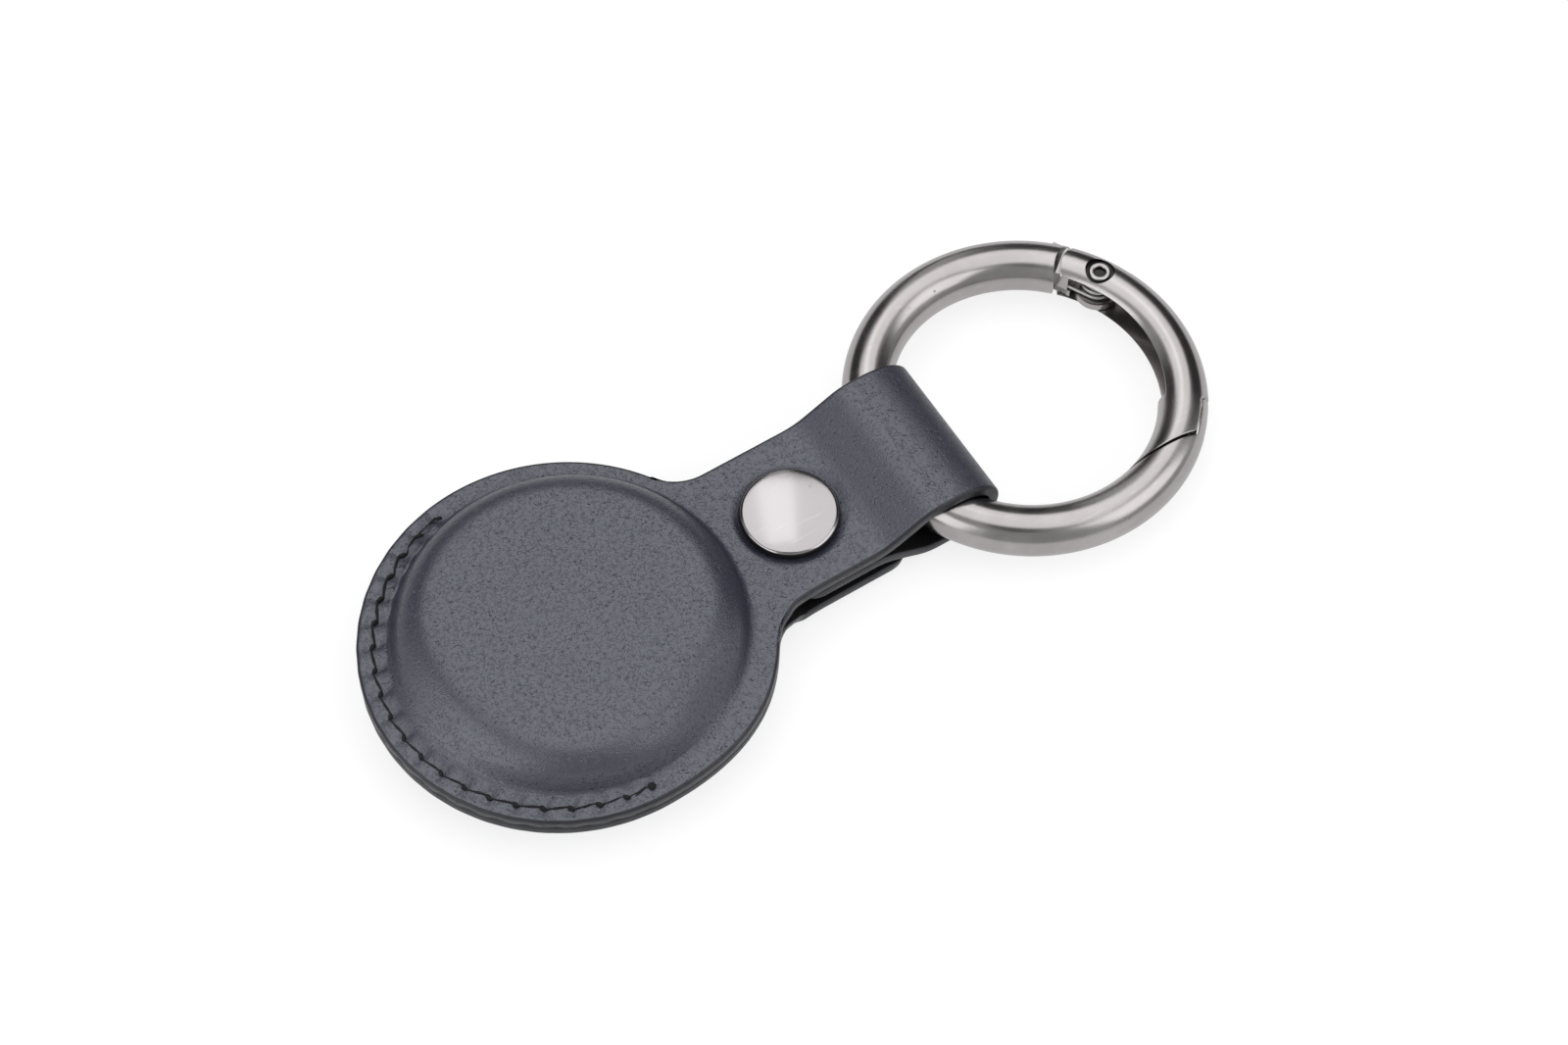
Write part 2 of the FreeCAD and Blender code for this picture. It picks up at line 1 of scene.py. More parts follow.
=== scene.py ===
"""Tag holder: a stitched leather pocket and a spring-gate ring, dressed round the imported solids.

Metres, in the frame of the solids: +X towards the ring, +Z up, the holder resting on z = 0.
"""

import json
import logging
import math
import random
from collections.abc import Callable
from dataclasses import dataclass, field
from enum import Enum

import bmesh
import bpy
from bmesh.types import BMEdge, BMesh, BMVert
from bpy.types import ID, Material, Mesh, Node, NodeSocket, NodeTree, Object
from mathutils import Matrix, Vector


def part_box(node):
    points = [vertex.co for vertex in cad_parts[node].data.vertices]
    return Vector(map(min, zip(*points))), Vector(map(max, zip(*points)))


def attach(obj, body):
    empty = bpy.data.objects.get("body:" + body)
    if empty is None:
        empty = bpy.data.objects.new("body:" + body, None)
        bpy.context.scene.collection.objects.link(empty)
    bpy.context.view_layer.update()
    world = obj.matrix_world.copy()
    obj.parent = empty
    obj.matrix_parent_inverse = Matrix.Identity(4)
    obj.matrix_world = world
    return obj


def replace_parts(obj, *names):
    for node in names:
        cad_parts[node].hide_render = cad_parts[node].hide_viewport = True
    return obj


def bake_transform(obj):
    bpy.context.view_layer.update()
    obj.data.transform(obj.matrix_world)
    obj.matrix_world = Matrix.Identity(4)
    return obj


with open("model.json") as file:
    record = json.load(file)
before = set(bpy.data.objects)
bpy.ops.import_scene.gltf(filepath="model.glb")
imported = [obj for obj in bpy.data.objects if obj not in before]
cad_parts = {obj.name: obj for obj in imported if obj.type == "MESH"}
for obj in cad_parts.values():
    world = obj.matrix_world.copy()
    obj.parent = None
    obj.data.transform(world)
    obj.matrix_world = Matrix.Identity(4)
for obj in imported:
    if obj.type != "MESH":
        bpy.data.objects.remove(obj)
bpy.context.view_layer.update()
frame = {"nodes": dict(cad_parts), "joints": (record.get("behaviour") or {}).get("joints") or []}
log = logging.getLogger("tag_holder")

Pair = tuple[float, float]
Triple = tuple[float, float, float]
Colour = tuple[float, float, float, float]
TURN = 2 * math.pi
UP = Vector((0, 0, 1))
WHITE: Colour = (1.0, 1.0, 1.0, 1.0)
MERGE_REACH = 1e-7
SHORTEST_RUN = 1e-6
METAL_SHARP = math.radians(40)

# Share of the leather that lies under the stud's seat
STUD_SEAT_SHARE = 0.76
# How far the seam and the dome's foot lie in from the disc's edge
SEAM_INSET = 0.0017
DOME_INSET = 0.00208


class Face(Enum):
    """Material slots of a leather panel."""

    GRAIN = 0
    EDGE = 1
    LINING = 2


class Side(Enum):
    """The side of the pocket that a dome stands on."""

    FRONT = 1
    BACK = -1


@dataclass(frozen=True)
class Layout:
    """Sizes and levels of the holder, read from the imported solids."""

    leather: float
    disc_radius: float
    neck_half: float
    seam_level: float
    front_crest: float
    bend_line: float
    fold_end: float
    loop_top: float
    loop_low: float
    tail_end: float
    tail_low: float
    tongue_end: float
    tongue_low: float
    snap_x: float

    @classmethod
    def read(cls) -> "Layout":
        """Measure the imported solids.

        Returns:
            The sizes and levels.
        """
        front_low, front_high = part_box("front_panel")
        loop_low, loop_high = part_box("strap_loop")
        tail_low, tail_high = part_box("strap_tail")
        stud_low, stud_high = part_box("snap_stud")
        leather = tail_high.z - tail_low.z
        return cls(
            leather=leather,
            disc_radius=-front_low.x,
            neck_half=loop_high.y,
            seam_level=front_low.z,
            front_crest=front_high.z,
            bend_line=front_high.x,
            fold_end=loop_high.x,
            loop_top=loop_high.z,
            loop_low=loop_low.z,
            tail_end=tail_low.x,
            tail_low=tail_low.z,
            tongue_end=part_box("back_flap")[1].x,
            tongue_low=stud_low.z - STUD_SEAT_SHARE * leather,
            snap_x=(stud_low.x + stud_high.x) / 2,
        )

    @property
    def front_top(self) -> float:
        """Level of the front rim and the neck."""
        return self.seam_level + self.leather

    @property
    def back_low(self) -> float:
        """Level of the back rim's underside."""
        return self.seam_level - self.leather

    @property
    def fold(self) -> float:
        """Radius of the fold round the ring."""
        return (self.loop_top - self.loop_low) / 2


def in_scene(name: str, data: ID) -> Object:
    """Link a new object to the scene and return it.

    Args:
        name: Name of the object.
        data: Its mesh, lamp or camera.

    Returns:
        The new object, at the origin.
    """
    made = bpy.data.objects.new(name, data)
    bpy.context.scene.collection.objects.link(made)
    return made


def shade_smooth(mesh: Mesh, sharp: float = METAL_SHARP) -> None:
    """Shade a mesh smooth, but for edges that turn by more than an angle."""
    mesh.shade_smooth()
    mesh.set_sharp_from_angle(angle=sharp)


def new_object(bm: BMesh, name: str) -> Object:
    """Turn a bmesh into a smooth-shaded object at the origin.

    Args:
        bm: The mesh, which is freed.
        name: Name of the piece.

    Returns:
        The new object, linked to the scene.
    """
    mesh = bpy.data.meshes.new(name)
    bm.to_mesh(mesh)
    bm.free()
    shade_smooth(mesh)
    return in_scene(name, mesh)


def apply_modifiers(obj: Object) -> None:
    """Bake the object's modifiers into its mesh.

    Args:
        obj: The object.
    """
    graph = bpy.context.evaluated_depsgraph_get()
    old = obj.data
    obj.data = bpy.data.meshes.new_from_object(obj.evaluated_get(graph))
    obj.modifiers.clear()
    name = old.name
    bpy.data.meshes.remove(old)
    obj.data.name = name


def absorb(bm: BMesh, other: BMesh) -> None:
    """Add the geometry of another bmesh, which is freed, to bm.

    Args:
        bm: The mesh to add to.
        other: The mesh to add.
    """
    mesh = bpy.data.meshes.new("absorbed")
    other.to_mesh(mesh)
    other.free()
    bm.from_mesh(mesh)
    bpy.data.meshes.remove(mesh)


def lay_wire(bm: BMesh, corners: list[Pair], closed: bool = False) -> list[BMVert]:
    """Join a few corners of an upright section with edges.

    Args:
        bm: The mesh to add to.
        corners: Distance out and height of each corner.
        closed: Whether the last corner joins the first.

    Returns:
        The new vertices, in order.
    """
    verts = [bm.verts.new((out, 0, height)) for out, height in corners]
    follow = verts[1:] + verts[:1] if closed else verts[1:]
    for a, b in zip(verts, follow):
        bm.edges.new((a, b))
    return verts


def spin_round(bm: BMesh, steps: int, centre_x: float = 0.0) -> None:
    """Spin all that a mesh holds once round an upright axis."""
    bmesh.ops.spin(bm, geom=bm.verts[:] + bm.edges[:], cent=(centre_x, 0, 0), axis=UP, angle=TURN,
                   steps=steps, use_merge=True)


def headings(spots: list[Vector]) -> list[Vector]:
    """Direction from each point to the next."""
    return [(b - a).normalized() for a, b in zip(spots, spots[1:])]


def round_corner(bm: BMesh, corner: BMVert, radius: float, segments: int) -> None:
    """Round one corner of a line of edges to an arc.

    Args:
        bm: The mesh that holds the line.
        corner: A vertex between two edges.
        radius: Radius of the arc.
        segments: Edges in the arc.
    """
    ways = [(e.other_vert(corner).co - corner.co).normalized() for e in corner.link_edges]
    turn = math.pi - ways[0].angle(ways[1])
    bmesh.ops.bevel(bm, geom=[corner], offset=radius * math.tan(turn / 2), segments=segments, profile=0.5,
                    affect="VERTICES", material=-1)


def divide_longer(bm: BMesh, longest: float, edges: list[BMEdge]) -> None:
    """Divide edges until none is longer than the given length."""
    for edge in edges:
        cuts = math.ceil(edge.calc_length() / longest) - 1
        if cuts > 0:
            bmesh.ops.subdivide_edges(bm, edges=[edge], cuts=cuts)


def extrude_line(bm: BMesh, edges: list[BMEdge]) -> tuple[list[BMVert], list[BMEdge]]:
    """Draw a line of edges out into faces.

    Args:
        bm: The mesh that holds the edges.
        edges: The line.

    Returns:
        The vertices and edges of the new end of the sheet.
    """
    made = bmesh.ops.extrude_edge_only(bm, edges=edges)["geom"]
    verts = [g for g in made if isinstance(g, BMVert)]
    ends = set(verts)
    return verts, [g for g in made if isinstance(g, BMEdge) and ends.issuperset(g.verts)]


def sweep(bm: BMesh, radius: float, sides: int, steps: list[Matrix]) -> None:
    """Draw a round section along a row of placements, and close its ends.

    Args:
        bm: The mesh to add to.
        radius: Radius of the section.
        sides: Vertices in the section.
        steps: Placements of the section, which lies in the local XY plane.
    """
    made = bmesh.ops.create_circle(bm, cap_ends=False, radius=radius, segments=sides, matrix=steps[0])
    verts = made["verts"]
    edges = list({e for v in verts for e in v.link_edges})
    first = list(edges)
    for here, there in zip(steps, steps[1:]):
        verts, edges = extrude_line(bm, edges)
        bmesh.ops.transform(bm, matrix=there @ here.inverted(), verts=verts)
    bmesh.ops.holes_fill(bm, edges=first + edges, sides=0)


def placement(spot: Vector, way: Vector, roll: float = 0.0, squeeze: float = 1.0) -> Matrix:
    """Placement that turns the local Z axis to a way.

    Args:
        spot: Where the local origin goes.
        way: Direction of the local Z axis.
        roll: Turn about that axis.
        squeeze: Scale of the local Y axis.

    Returns:
        The matrix.
    """
    turn = way.to_track_quat("Z", "Y").to_matrix().to_4x4() @ Matrix.Rotation(roll, 4, "Z")
    return Matrix.Translation(spot) @ turn @ Matrix.Diagonal((1, squeeze, 1, 1))


def smooth_step(value: float) -> float:
    """Ease from 0 to 1 as the value goes from 0 to 1."""
    held = min(1.0, max(0.0, value))
    return held * held * (3 - 2 * held)


def bump_shape(distance: float, width: float) -> float:
    """Bell curve that is 1 at no distance."""
    return math.exp(-(distance / width) ** 2)


class Graph:
    """A node tree with short calls that add and join nodes."""

    def __init__(self, tree: NodeTree) -> None:
        """Keep the tree that the calls add to."""
        self.tree = tree

    def feed(self, node: Node, inputs: dict) -> None:
        """Fill inputs of a node.

        Args:
            node: The node.
            inputs: Value or output socket for each named or numbered input.
        """
        for key, value in inputs.items():
            if isinstance(value, NodeSocket):
                self.tree.links.new(value, node.inputs[key])
            else:
                node.inputs[key].default_value = value

    def add(self, kind: str, inputs: dict | None = None, **settings: object) -> Node:
        """Add a node.

        Args:
            kind: Type of the node.
            inputs: Value or output socket for each named or numbered input.
            **settings: Properties of the node.

        Returns:
            The new node.
        """
        made = self.tree.nodes.new(kind)
        for key, value in settings.items():
            setattr(made, key, value)
        self.feed(made, inputs or {})
        return made

    def math(self, operation: str, a: object, b: object = 0.0) -> NodeSocket:
        """Add a Math node and return its output."""
        return self.add("ShaderNodeMath", {0: a, 1: b}, operation=operation).outputs[0]

    def times(self, a: object, b: object) -> NodeSocket:
        """Multiply two values and return the result."""
        return self.math("MULTIPLY", a, b)

    def vector(self, operation: str, inputs: dict) -> bpy.types.NodeOutputs:
        """Add a Vector Math node and return its outputs."""
        return self.add("ShaderNodeVectorMath", inputs, operation=operation).outputs

    def mix(self, share: object, a: object, b: object) -> NodeSocket:
        """Mix two colours and return the result."""
        return self.add("ShaderNodeMix", {0: share, 6: a, 7: b}, data_type="RGBA").outputs[2]

    def fit(self, value: NodeSocket, start: float, end: float, low: float = 0.0,
            high: float = 1.0) -> NodeSocket:
        """Ease a value from one range into another.

        Args:
            value: The value.
            start: Value that gives low.
            end: Value that gives high.
            low: Result at the start.
            high: Result at the end.

        Returns:
            The eased value.
        """
        limits = {"Value": value, "From Min": start, "From Max": end, "To Min": low, "To Max": high}
        return self.add("ShaderNodeMapRange", limits, interpolation_type="SMOOTHSTEP").outputs[0]

    def noise(self, spot: NodeSocket, scale: object, detail: float = 2.0) -> NodeSocket:
        """Add a noise texture and return its value."""
        return self.add("ShaderNodeTexNoise", {"Vector": spot, "Scale": scale, "Detail": detail}).outputs[0]

    def lines(self, spot: NodeSocket, scale: object, width: float) -> NodeSocket:
        """Draw lines between cells and return a value that is 1 in the middle of a line."""
        cell = self.add("ShaderNodeTexVoronoi", {"Vector": spot, "Scale": scale}, feature="DISTANCE_TO_EDGE")
        return self.fit(cell.outputs["Distance"], 0.0, width, 1.0, 0.0)

    def dots(self, spot: NodeSocket, scale: object, size: Pair, chosen: Pair) -> NodeSocket:
        """Scatter round dots over some of the cells.

        Args:
            spot: Where the cells are read.
            scale: Cells in a metre.
            size: Where a dot starts to fade and where it ends, in cells.
            chosen: Draws of a cell, from 0 to 1, between which its dot comes in.

        Returns:
            A value that is 1 on a dot.
        """
        cell = self.add("ShaderNodeTexVoronoi", {"Vector": spot, "Scale": scale}).outputs
        drawn = self.add("ShaderNodeSeparateColor", {0: cell["Color"]}).outputs[0]
        return self.times(self.fit(cell["Distance"], *size, 1.0, 0.0), self.fit(drawn, *chosen))

    def bump(self, height: NodeSocket, strength: float, depth: float, invert: bool = False) -> NodeSocket:
        """Add a Bump node and return its normal."""
        relief = {"Height": height, "Strength": strength, "Distance": depth}
        return self.add("ShaderNodeBump", relief, invert=invert).outputs[0]


def new_group(name: str, scale: str, outputs: list[str]) -> tuple[Graph, NodeSocket, NodeSocket, Node]:
    """Start a node group that reads a place and a scale.

    Args:
        name: Name of the group.
        scale: Name of the scale's input.
        outputs: Names of the outputs, which are all values.

    Returns:
        The group's graph, its place, its scale and its output node.
    """
    tree = bpy.data.node_groups.new(name, "ShaderNodeTree")
    tree.interface.new_socket(name="Vector", in_out="INPUT", socket_type="NodeSocketVector")
    tree.interface.new_socket(name=scale, in_out="INPUT", socket_type="NodeSocketFloat")
    for label in outputs:
        tree.interface.new_socket(name=label, in_out="OUTPUT", socket_type="NodeSocketFloat")
    graph = Graph(tree)
    given = graph.add("NodeGroupInput").outputs
    return graph, given["Vector"], given[scale], graph.add("NodeGroupOutput")


@dataclass(frozen=True)
class PebbleGrain:
    """Effect for leather: soft pebbles between fine creases, with scattered pores.

    Scales are shares of the cells in a metre, widths of a cell and heights of the grain's depth.
    """

    wander_scale: float = 0.45
    wander_detail: float = 2.0
    wander_reach: float = 1.6
    crease_width: float = 0.12
    crease_height: float = 0.08
    fine_scale: float = 2.6
    fine_detail: float = 3.0
    fine_height: float = 0.3
    wrinkle_scale: float = 1.1
    wrinkle_width: float = 0.16
    wrinkle_height: float = 0.2
    break_scale: float = 0.9
    break_range: Pair = (0.38, 0.62)
    pore_scale: float = 0.8
    pore_size: Pair = (0.14, 0.34)
    pore_chosen: Pair = (0.55, 0.75)

    def make(self) -> NodeTree:
        """Build the node group.

        Returns:
            The group, with outputs Height, Creases and Pores.
        """
        graph, place, cells, out = new_group("Pebble Grain", "Cells", ["Height", "Creases", "Pores"])
        wander = graph.add("ShaderNodeTexNoise", {
            "Vector": place, "Scale": graph.times(cells, self.wander_scale), "Detail": self.wander_detail})
        reach = graph.math("DIVIDE", self.wander_reach, cells)
        shift = graph.vector("SCALE", {0: wander.outputs["Color"], "Scale": reach})[0]
        spot = graph.vector("ADD", {0: place, 1: shift})[0]
        crease = graph.lines(spot, cells, self.crease_width)
        fine = graph.noise(place, graph.times(cells, self.fine_scale), self.fine_detail)
        wrinkle = graph.lines(spot, graph.times(cells, self.wrinkle_scale), self.wrinkle_width)
        broken = graph.fit(graph.noise(place, graph.times(cells, self.break_scale)), *self.break_range)
        deep = graph.times(wrinkle, broken)
        pebbled = graph.math("SUBTRACT", graph.times(fine, self.fine_height),
                             graph.times(crease, self.crease_height))
        raised = graph.math("SUBTRACT", pebbled, graph.times(deep, self.wrinkle_height))
        pores = graph.dots(spot, graph.times(cells, self.pore_scale), self.pore_size, self.pore_chosen)
        graph.feed(out, {"Height": raised, "Creases": deep, "Pores": pores})
        return graph.tree


@dataclass(frozen=True)
class HandlingMarks:
    """Effect for metal: cloudy plating, small pits and hairline rubs.

    Scales are shares of the marks in a metre.
    """

    cloud_scale: float = 0.35
    cloud_detail: float = 4.0
    pit_size: Pair = (0.05, 0.13)
    pit_chosen: Pair = (0.86, 0.9)
    rub_scale: float = 6.0
    rub_stretch: Triple = (0.06, 1.0, 1.0)
    rub_turn: Triple = (0.4, 0.3, 0.7)
    rub_range: Pair = (0.6, 0.72)

    def make(self) -> NodeTree:
        """Build the node group.

        Returns:
            The group, with outputs Cloud, Pits and Rubs.
        """
        graph, place, marks, out = new_group("Handling Marks", "Marks", ["Cloud", "Pits", "Rubs"])
        cloud = graph.noise(place, graph.times(marks, self.cloud_scale), self.cloud_detail)
        pits = graph.dots(place, marks, self.pit_size, self.pit_chosen)
        drawn = graph.add("ShaderNodeMapping", {"Vector": place, "Scale": self.rub_stretch,
                                                "Rotation": self.rub_turn}).outputs[0]
        rubs = graph.fit(graph.noise(drawn, graph.times(marks, self.rub_scale)), *self.rub_range)
        graph.feed(out, {"Cloud": cloud, "Pits": pits, "Rubs": rubs})
        return graph.tree


@dataclass(frozen=True)
class Finish:
    """A surface finish: its name, colour and gloss."""

    name: str
    colour: Colour
    roughness: float

    def start(self) -> tuple[Material, Graph, Node, NodeSocket]:
        """Start the material.

        Returns:
            The material, its graph, its shader and its Object coordinates.
        """
        material = bpy.data.materials.new(self.name)
        material.use_nodes = True
        graph = Graph(material.node_tree)
        shader = material.node_tree.nodes["Principled BSDF"]
        graph.feed(shader, {"Base Color": self.colour, "Roughness": self.roughness})
        return material, graph, shader, graph.add("ShaderNodeTexCoord").outputs["Object"]

    def shade(self, share: float) -> Colour:
        """The colour made darker or lighter."""
        return (*(c * share for c in self.colour[:3]), 1.0)


@dataclass(frozen=True)
class LeatherFinish(Finish):
    """Coated leather with a fine pebble grain, its creases and pores darkened in colour as painted shade."""

    cells: float = 2500.0
    grain_depth: float = 0.0001
    relief: float = 0.8
    # Painted shade in the creases and pores: how much of it mixes in, and how dark it is
    crease_painted_share: float = 0.5
    crease_painted_shade: float = 0.25
    crease_dull: float = 0.12
    pore_painted_share: float = 0.22
    pore_painted_shade: float = 0.22
    pore_depth: float = 0.5
    mottle_share: float = 0.02
    mottle_scale: float = 190.0
    mottle_detail: float = 4.0
    mottle_range: Pair = (0.3, 0.7)
    mottle_shades: Pair = (0.72, 1.28)
    mottle_dull: float = 0.2
    specular: float = 0.5
    index: float = 1.5
    sheen: Colour = (0.92, 0.94, 1.0, 1.0)

    def make(self, grain: NodeTree) -> Material:
        """Build the material.

        Args:
            grain: The Pebble Grain group.

        Returns:
            The material.
        """
        material, graph, shader, spot = self.start()
        pebbles = graph.add("ShaderNodeGroup", node_tree=grain)
        graph.feed(pebbles, {"Vector": spot, "Cells": self.cells})
        creases, pores = pebbles.outputs["Creases"], pebbles.outputs["Pores"]
        mottle = graph.fit(graph.noise(spot, self.mottle_scale, self.mottle_detail), *self.mottle_range,
                           -self.mottle_share, self.mottle_share)
        dark, light = (self.shade(share) for share in self.mottle_shades)
        colour = graph.mix(graph.math("ADD", mottle, 0.5), dark, light)
        # Creases and pores are darkened in colour: painted shade in the grain's hollows
        for mask, share, shade in ((creases, self.crease_painted_share, self.crease_painted_shade),
                                   (pores, self.pore_painted_share, self.pore_painted_shade)):
            colour = graph.mix(graph.times(mask, share), colour, self.shade(shade))
        dull = graph.math("ADD", graph.times(creases, self.crease_dull), self.roughness)
        height = graph.math("SUBTRACT", pebbles.outputs["Height"], graph.times(pores, self.pore_depth))
        graph.feed(shader, {"Base Color": colour,
                            "Roughness": graph.math("ADD", dull, graph.times(mottle, self.mottle_dull)),
                            "Normal": graph.bump(height, self.relief, self.grain_depth),
                            "Specular IOR Level": self.specular, "IOR": self.index,
                            "Specular Tint": self.sheen})
        return material


@dataclass(frozen=True)
class MetalFinish(Finish):
    """Plated metal with pits, cloudy plating and rubs."""

    marks: float = 700.0
    pit_depth: float = 0.00003
    pit_relief: float = 0.6
    pit_shade: float = 0.3
    pit_dull: float = 0.3
    cloud_share: float = 0.1
    cloud_range: Pair = (0.3, 0.7)
    cloud_dull: float = 0.4
    rub_share: float = 0.1
    rub_colour: Colour = (0.9, 0.88, 0.86, 1.0)

    def make(self, marks: NodeTree) -> Material:
        """Build the material.

        Args:
            marks: The Handling Marks group.

        Returns:
            The material.
        """
        material, graph, shader, spot = self.start()
        wear = graph.add("ShaderNodeGroup", node_tree=marks)
        graph.feed(wear, {"Vector": spot, "Marks": self.marks})
        pits = wear.outputs["Pits"]
        cloud = graph.fit(wear.outputs["Cloud"], *self.cloud_range)
        plated = graph.mix(cloud, self.shade(1 - self.cloud_share), self.shade(1 + self.cloud_share))
        pitted = graph.mix(pits, plated, self.shade(self.pit_shade))
        rubbed = graph.mix(graph.times(wear.outputs["Rubs"], self.rub_share), pitted, self.rub_colour)
        dull = graph.math("ADD", graph.times(cloud, self.cloud_dull * self.roughness), self.roughness)
        graph.feed(shader, {"Base Color": rubbed, "Metallic": 1.0,
                            "Roughness": graph.math("ADD", dull, graph.times(pits, self.pit_dull)),
                            "Normal": graph.bump(pits, self.pit_relief, self.pit_depth, invert=True)})
        return material


@dataclass(frozen=True)
class ThreadFinish(Finish):
    """Black sewing thread with fine fibres."""

    fibres: float = 9000.0
    fibre_range: Pair = (0.35, 0.7)
    fibre_shades: Pair = (0.5, 2.2)
    fibre_depth: float = 0.00004
    relief: float = 0.5
    sheen: float = 0.05

    def make(self) -> Material:
        """Build the material.

        Returns:
            The material.
        """
        material, graph, shader, spot = self.start()
        fuzz = graph.noise(spot, self.fibres)
        dark, light = (self.shade(share) for share in self.fibre_shades)
        graph.feed(shader, {"Base Color": graph.mix(graph.fit(fuzz, *self.fibre_range), dark, light),
                            "Normal": graph.bump(fuzz, self.relief, self.fibre_depth),
                            "Sheen Weight": self.sheen})
        return material


@dataclass(frozen=True)
class Finishes:
    """The materials of the holder."""

    grain: Material
    edge: Material
    lining: Material
    thread: Material
    cap: Material
    # dark: near-black metal for painted shade on the cap's edge, the pin's seats and the rivet's bore
    dark: Material
    plate: Material
    gunmetal: Material
    wire: Material

    @classmethod
    def make(cls) -> "Finishes":
        """Build every material once.

        Returns:
            The materials.
        """
        pebbles, marks = PebbleGrain().make(), HandlingMarks().make()
        return cls(
            grain=LeatherFinish("slate_leather", (0.035, 0.037, 0.058, 1.0), 0.33, specular=1.0,
                                index=1.6).make(pebbles),
            edge=LeatherFinish("painted_edge", (0.028, 0.028, 0.034, 1.0), 0.36, cells=900.0,
                               grain_depth=0.00004, crease_painted_share=0.25, pore_painted_share=0.2).make(pebbles),
            # The lining's own dark colour, made near-black so that the gaps between the layers show as
            # painted shade
            lining=LeatherFinish("lining_with_painted_shade", (0.007, 0.007, 0.0075, 1.0), 0.85, cells=3200.0,
                                 grain_depth=0.00008, specular=0.2).make(pebbles),
            thread=ThreadFinish("black_thread", (0.005, 0.005, 0.006, 1.0), 0.8).make(),
            cap=MetalFinish("polished_cap", (0.435, 0.414, 0.422, 1.0), 0.12, marks=420.0, pit_depth=0.00001,
                            cloud_share=0.02, rub_share=0.05).make(marks),
            # Near-black metal that paints shade on the cap's edge, in the pin's seats and in the rivet's bore
            dark=MetalFinish("painted_shade_metal", (0.045, 0.043, 0.044, 1.0), 0.3, marks=420.0, pit_depth=0.00001,
                             cloud_share=0.02, rub_share=0.02).make(marks),
            plate=MetalFinish("plated_snap", (0.55, 0.54, 0.54, 1.0), 0.22, marks=900.0).make(marks),
            gunmetal=MetalFinish("satin_gunmetal", (0.46, 0.435, 0.435, 1.0), 0.2, marks=560.0,
                                 cloud_share=0.08, rub_share=0.08).make(marks),
            wire=MetalFinish("spring_wire", (0.50, 0.49, 0.48, 1.0), 0.28, marks=1500.0).make(marks),
        )


def give_finish(obj: Object, slot: str, *materials: Material) -> None:
    """Give a piece its materials and report it.

    Args:
        obj: The piece.
        slot: Material slot of the record; not used.
        *materials: Materials, in the order of the piece's slots.
    """
    slots = obj.data.materials
    for _ in range(len(materials) - len(slots)):
        slots.append(None)
    for i, material in enumerate(materials):
        slots[i] = material
    log.info("%s: %d faces", obj.name, len(obj.data.polygons))


@dataclass
class SeamPlan:
    """Places of the stitches round the closed end of the pocket."""

    radius: float
    first: float = math.radians(101)
    last: float = math.radians(267)
    count: int = 20
    hole_depth: float = 0.00045
    hole_width: float = 0.0004
    groove_depth: float = 0.00012
    groove_width: float = 0.0003
    puff: float = 0.00022
    inner_share: float = 1.4
    outer_share: float = 0.7
    puff_out: float = 0.00075
    puff_width: float = 0.00042
    early_share: float = 2.2
    late_share: float = 0.7
    end_reach: float = 0.35
    end_ease: float = 0.5

    @property
    def step(self) -> float:
        """Angle of one stitch."""
        return (self.last - self.first) / self.count

    def spot(self, angle: float) -> Vector:
        """Point of the seam line at an angle."""
        return Vector((self.radius * math.cos(angle), self.radius * math.sin(angle), 0))

    def tension(self, along: float) -> float:
        """How hard the thread pulls at a stitch, harder where the seam begins."""
        ease = (1 - min(1.0, max(0.0, along / self.count))) ** 2
        return self.late_share + (self.early_share - self.late_share) * ease

    def sink(self, x: float, y: float) -> float:
        """How far the seam draws the leather in at a place.

        Args:
            x: Place along the holder.
            y: Place across it.

        Returns:
            Depth below the flat rim, negative where the leather puffs up.
        """
        angle = math.atan2(y, x) % TURN
        out = math.hypot(x, y) - self.radius
        along = (angle - self.first) / self.step
        inside = smooth_step((along + self.end_reach) / self.end_ease)
        inside *= smooth_step((self.count + self.end_reach - along) / self.end_ease)
        if inside == 0:
            return 0.0
        nearest = min(self.count, max(0, round(along)))
        from_hole = math.hypot(out, (along - nearest) * self.step * self.radius)
        hole = self.hole_depth * bump_shape(from_hole, self.hole_width)
        groove = self.groove_depth * bump_shape(out, self.groove_width)
        crown = math.sin(math.pi * (along % 1)) ** 2
        share = self.inner_share if out < 0 else self.outer_share
        puff = self.puff * share * self.tension(along) * crown
        puff *= bump_shape(abs(out) - self.puff_out, self.puff_width)
        return inside * (hole + groove - puff)


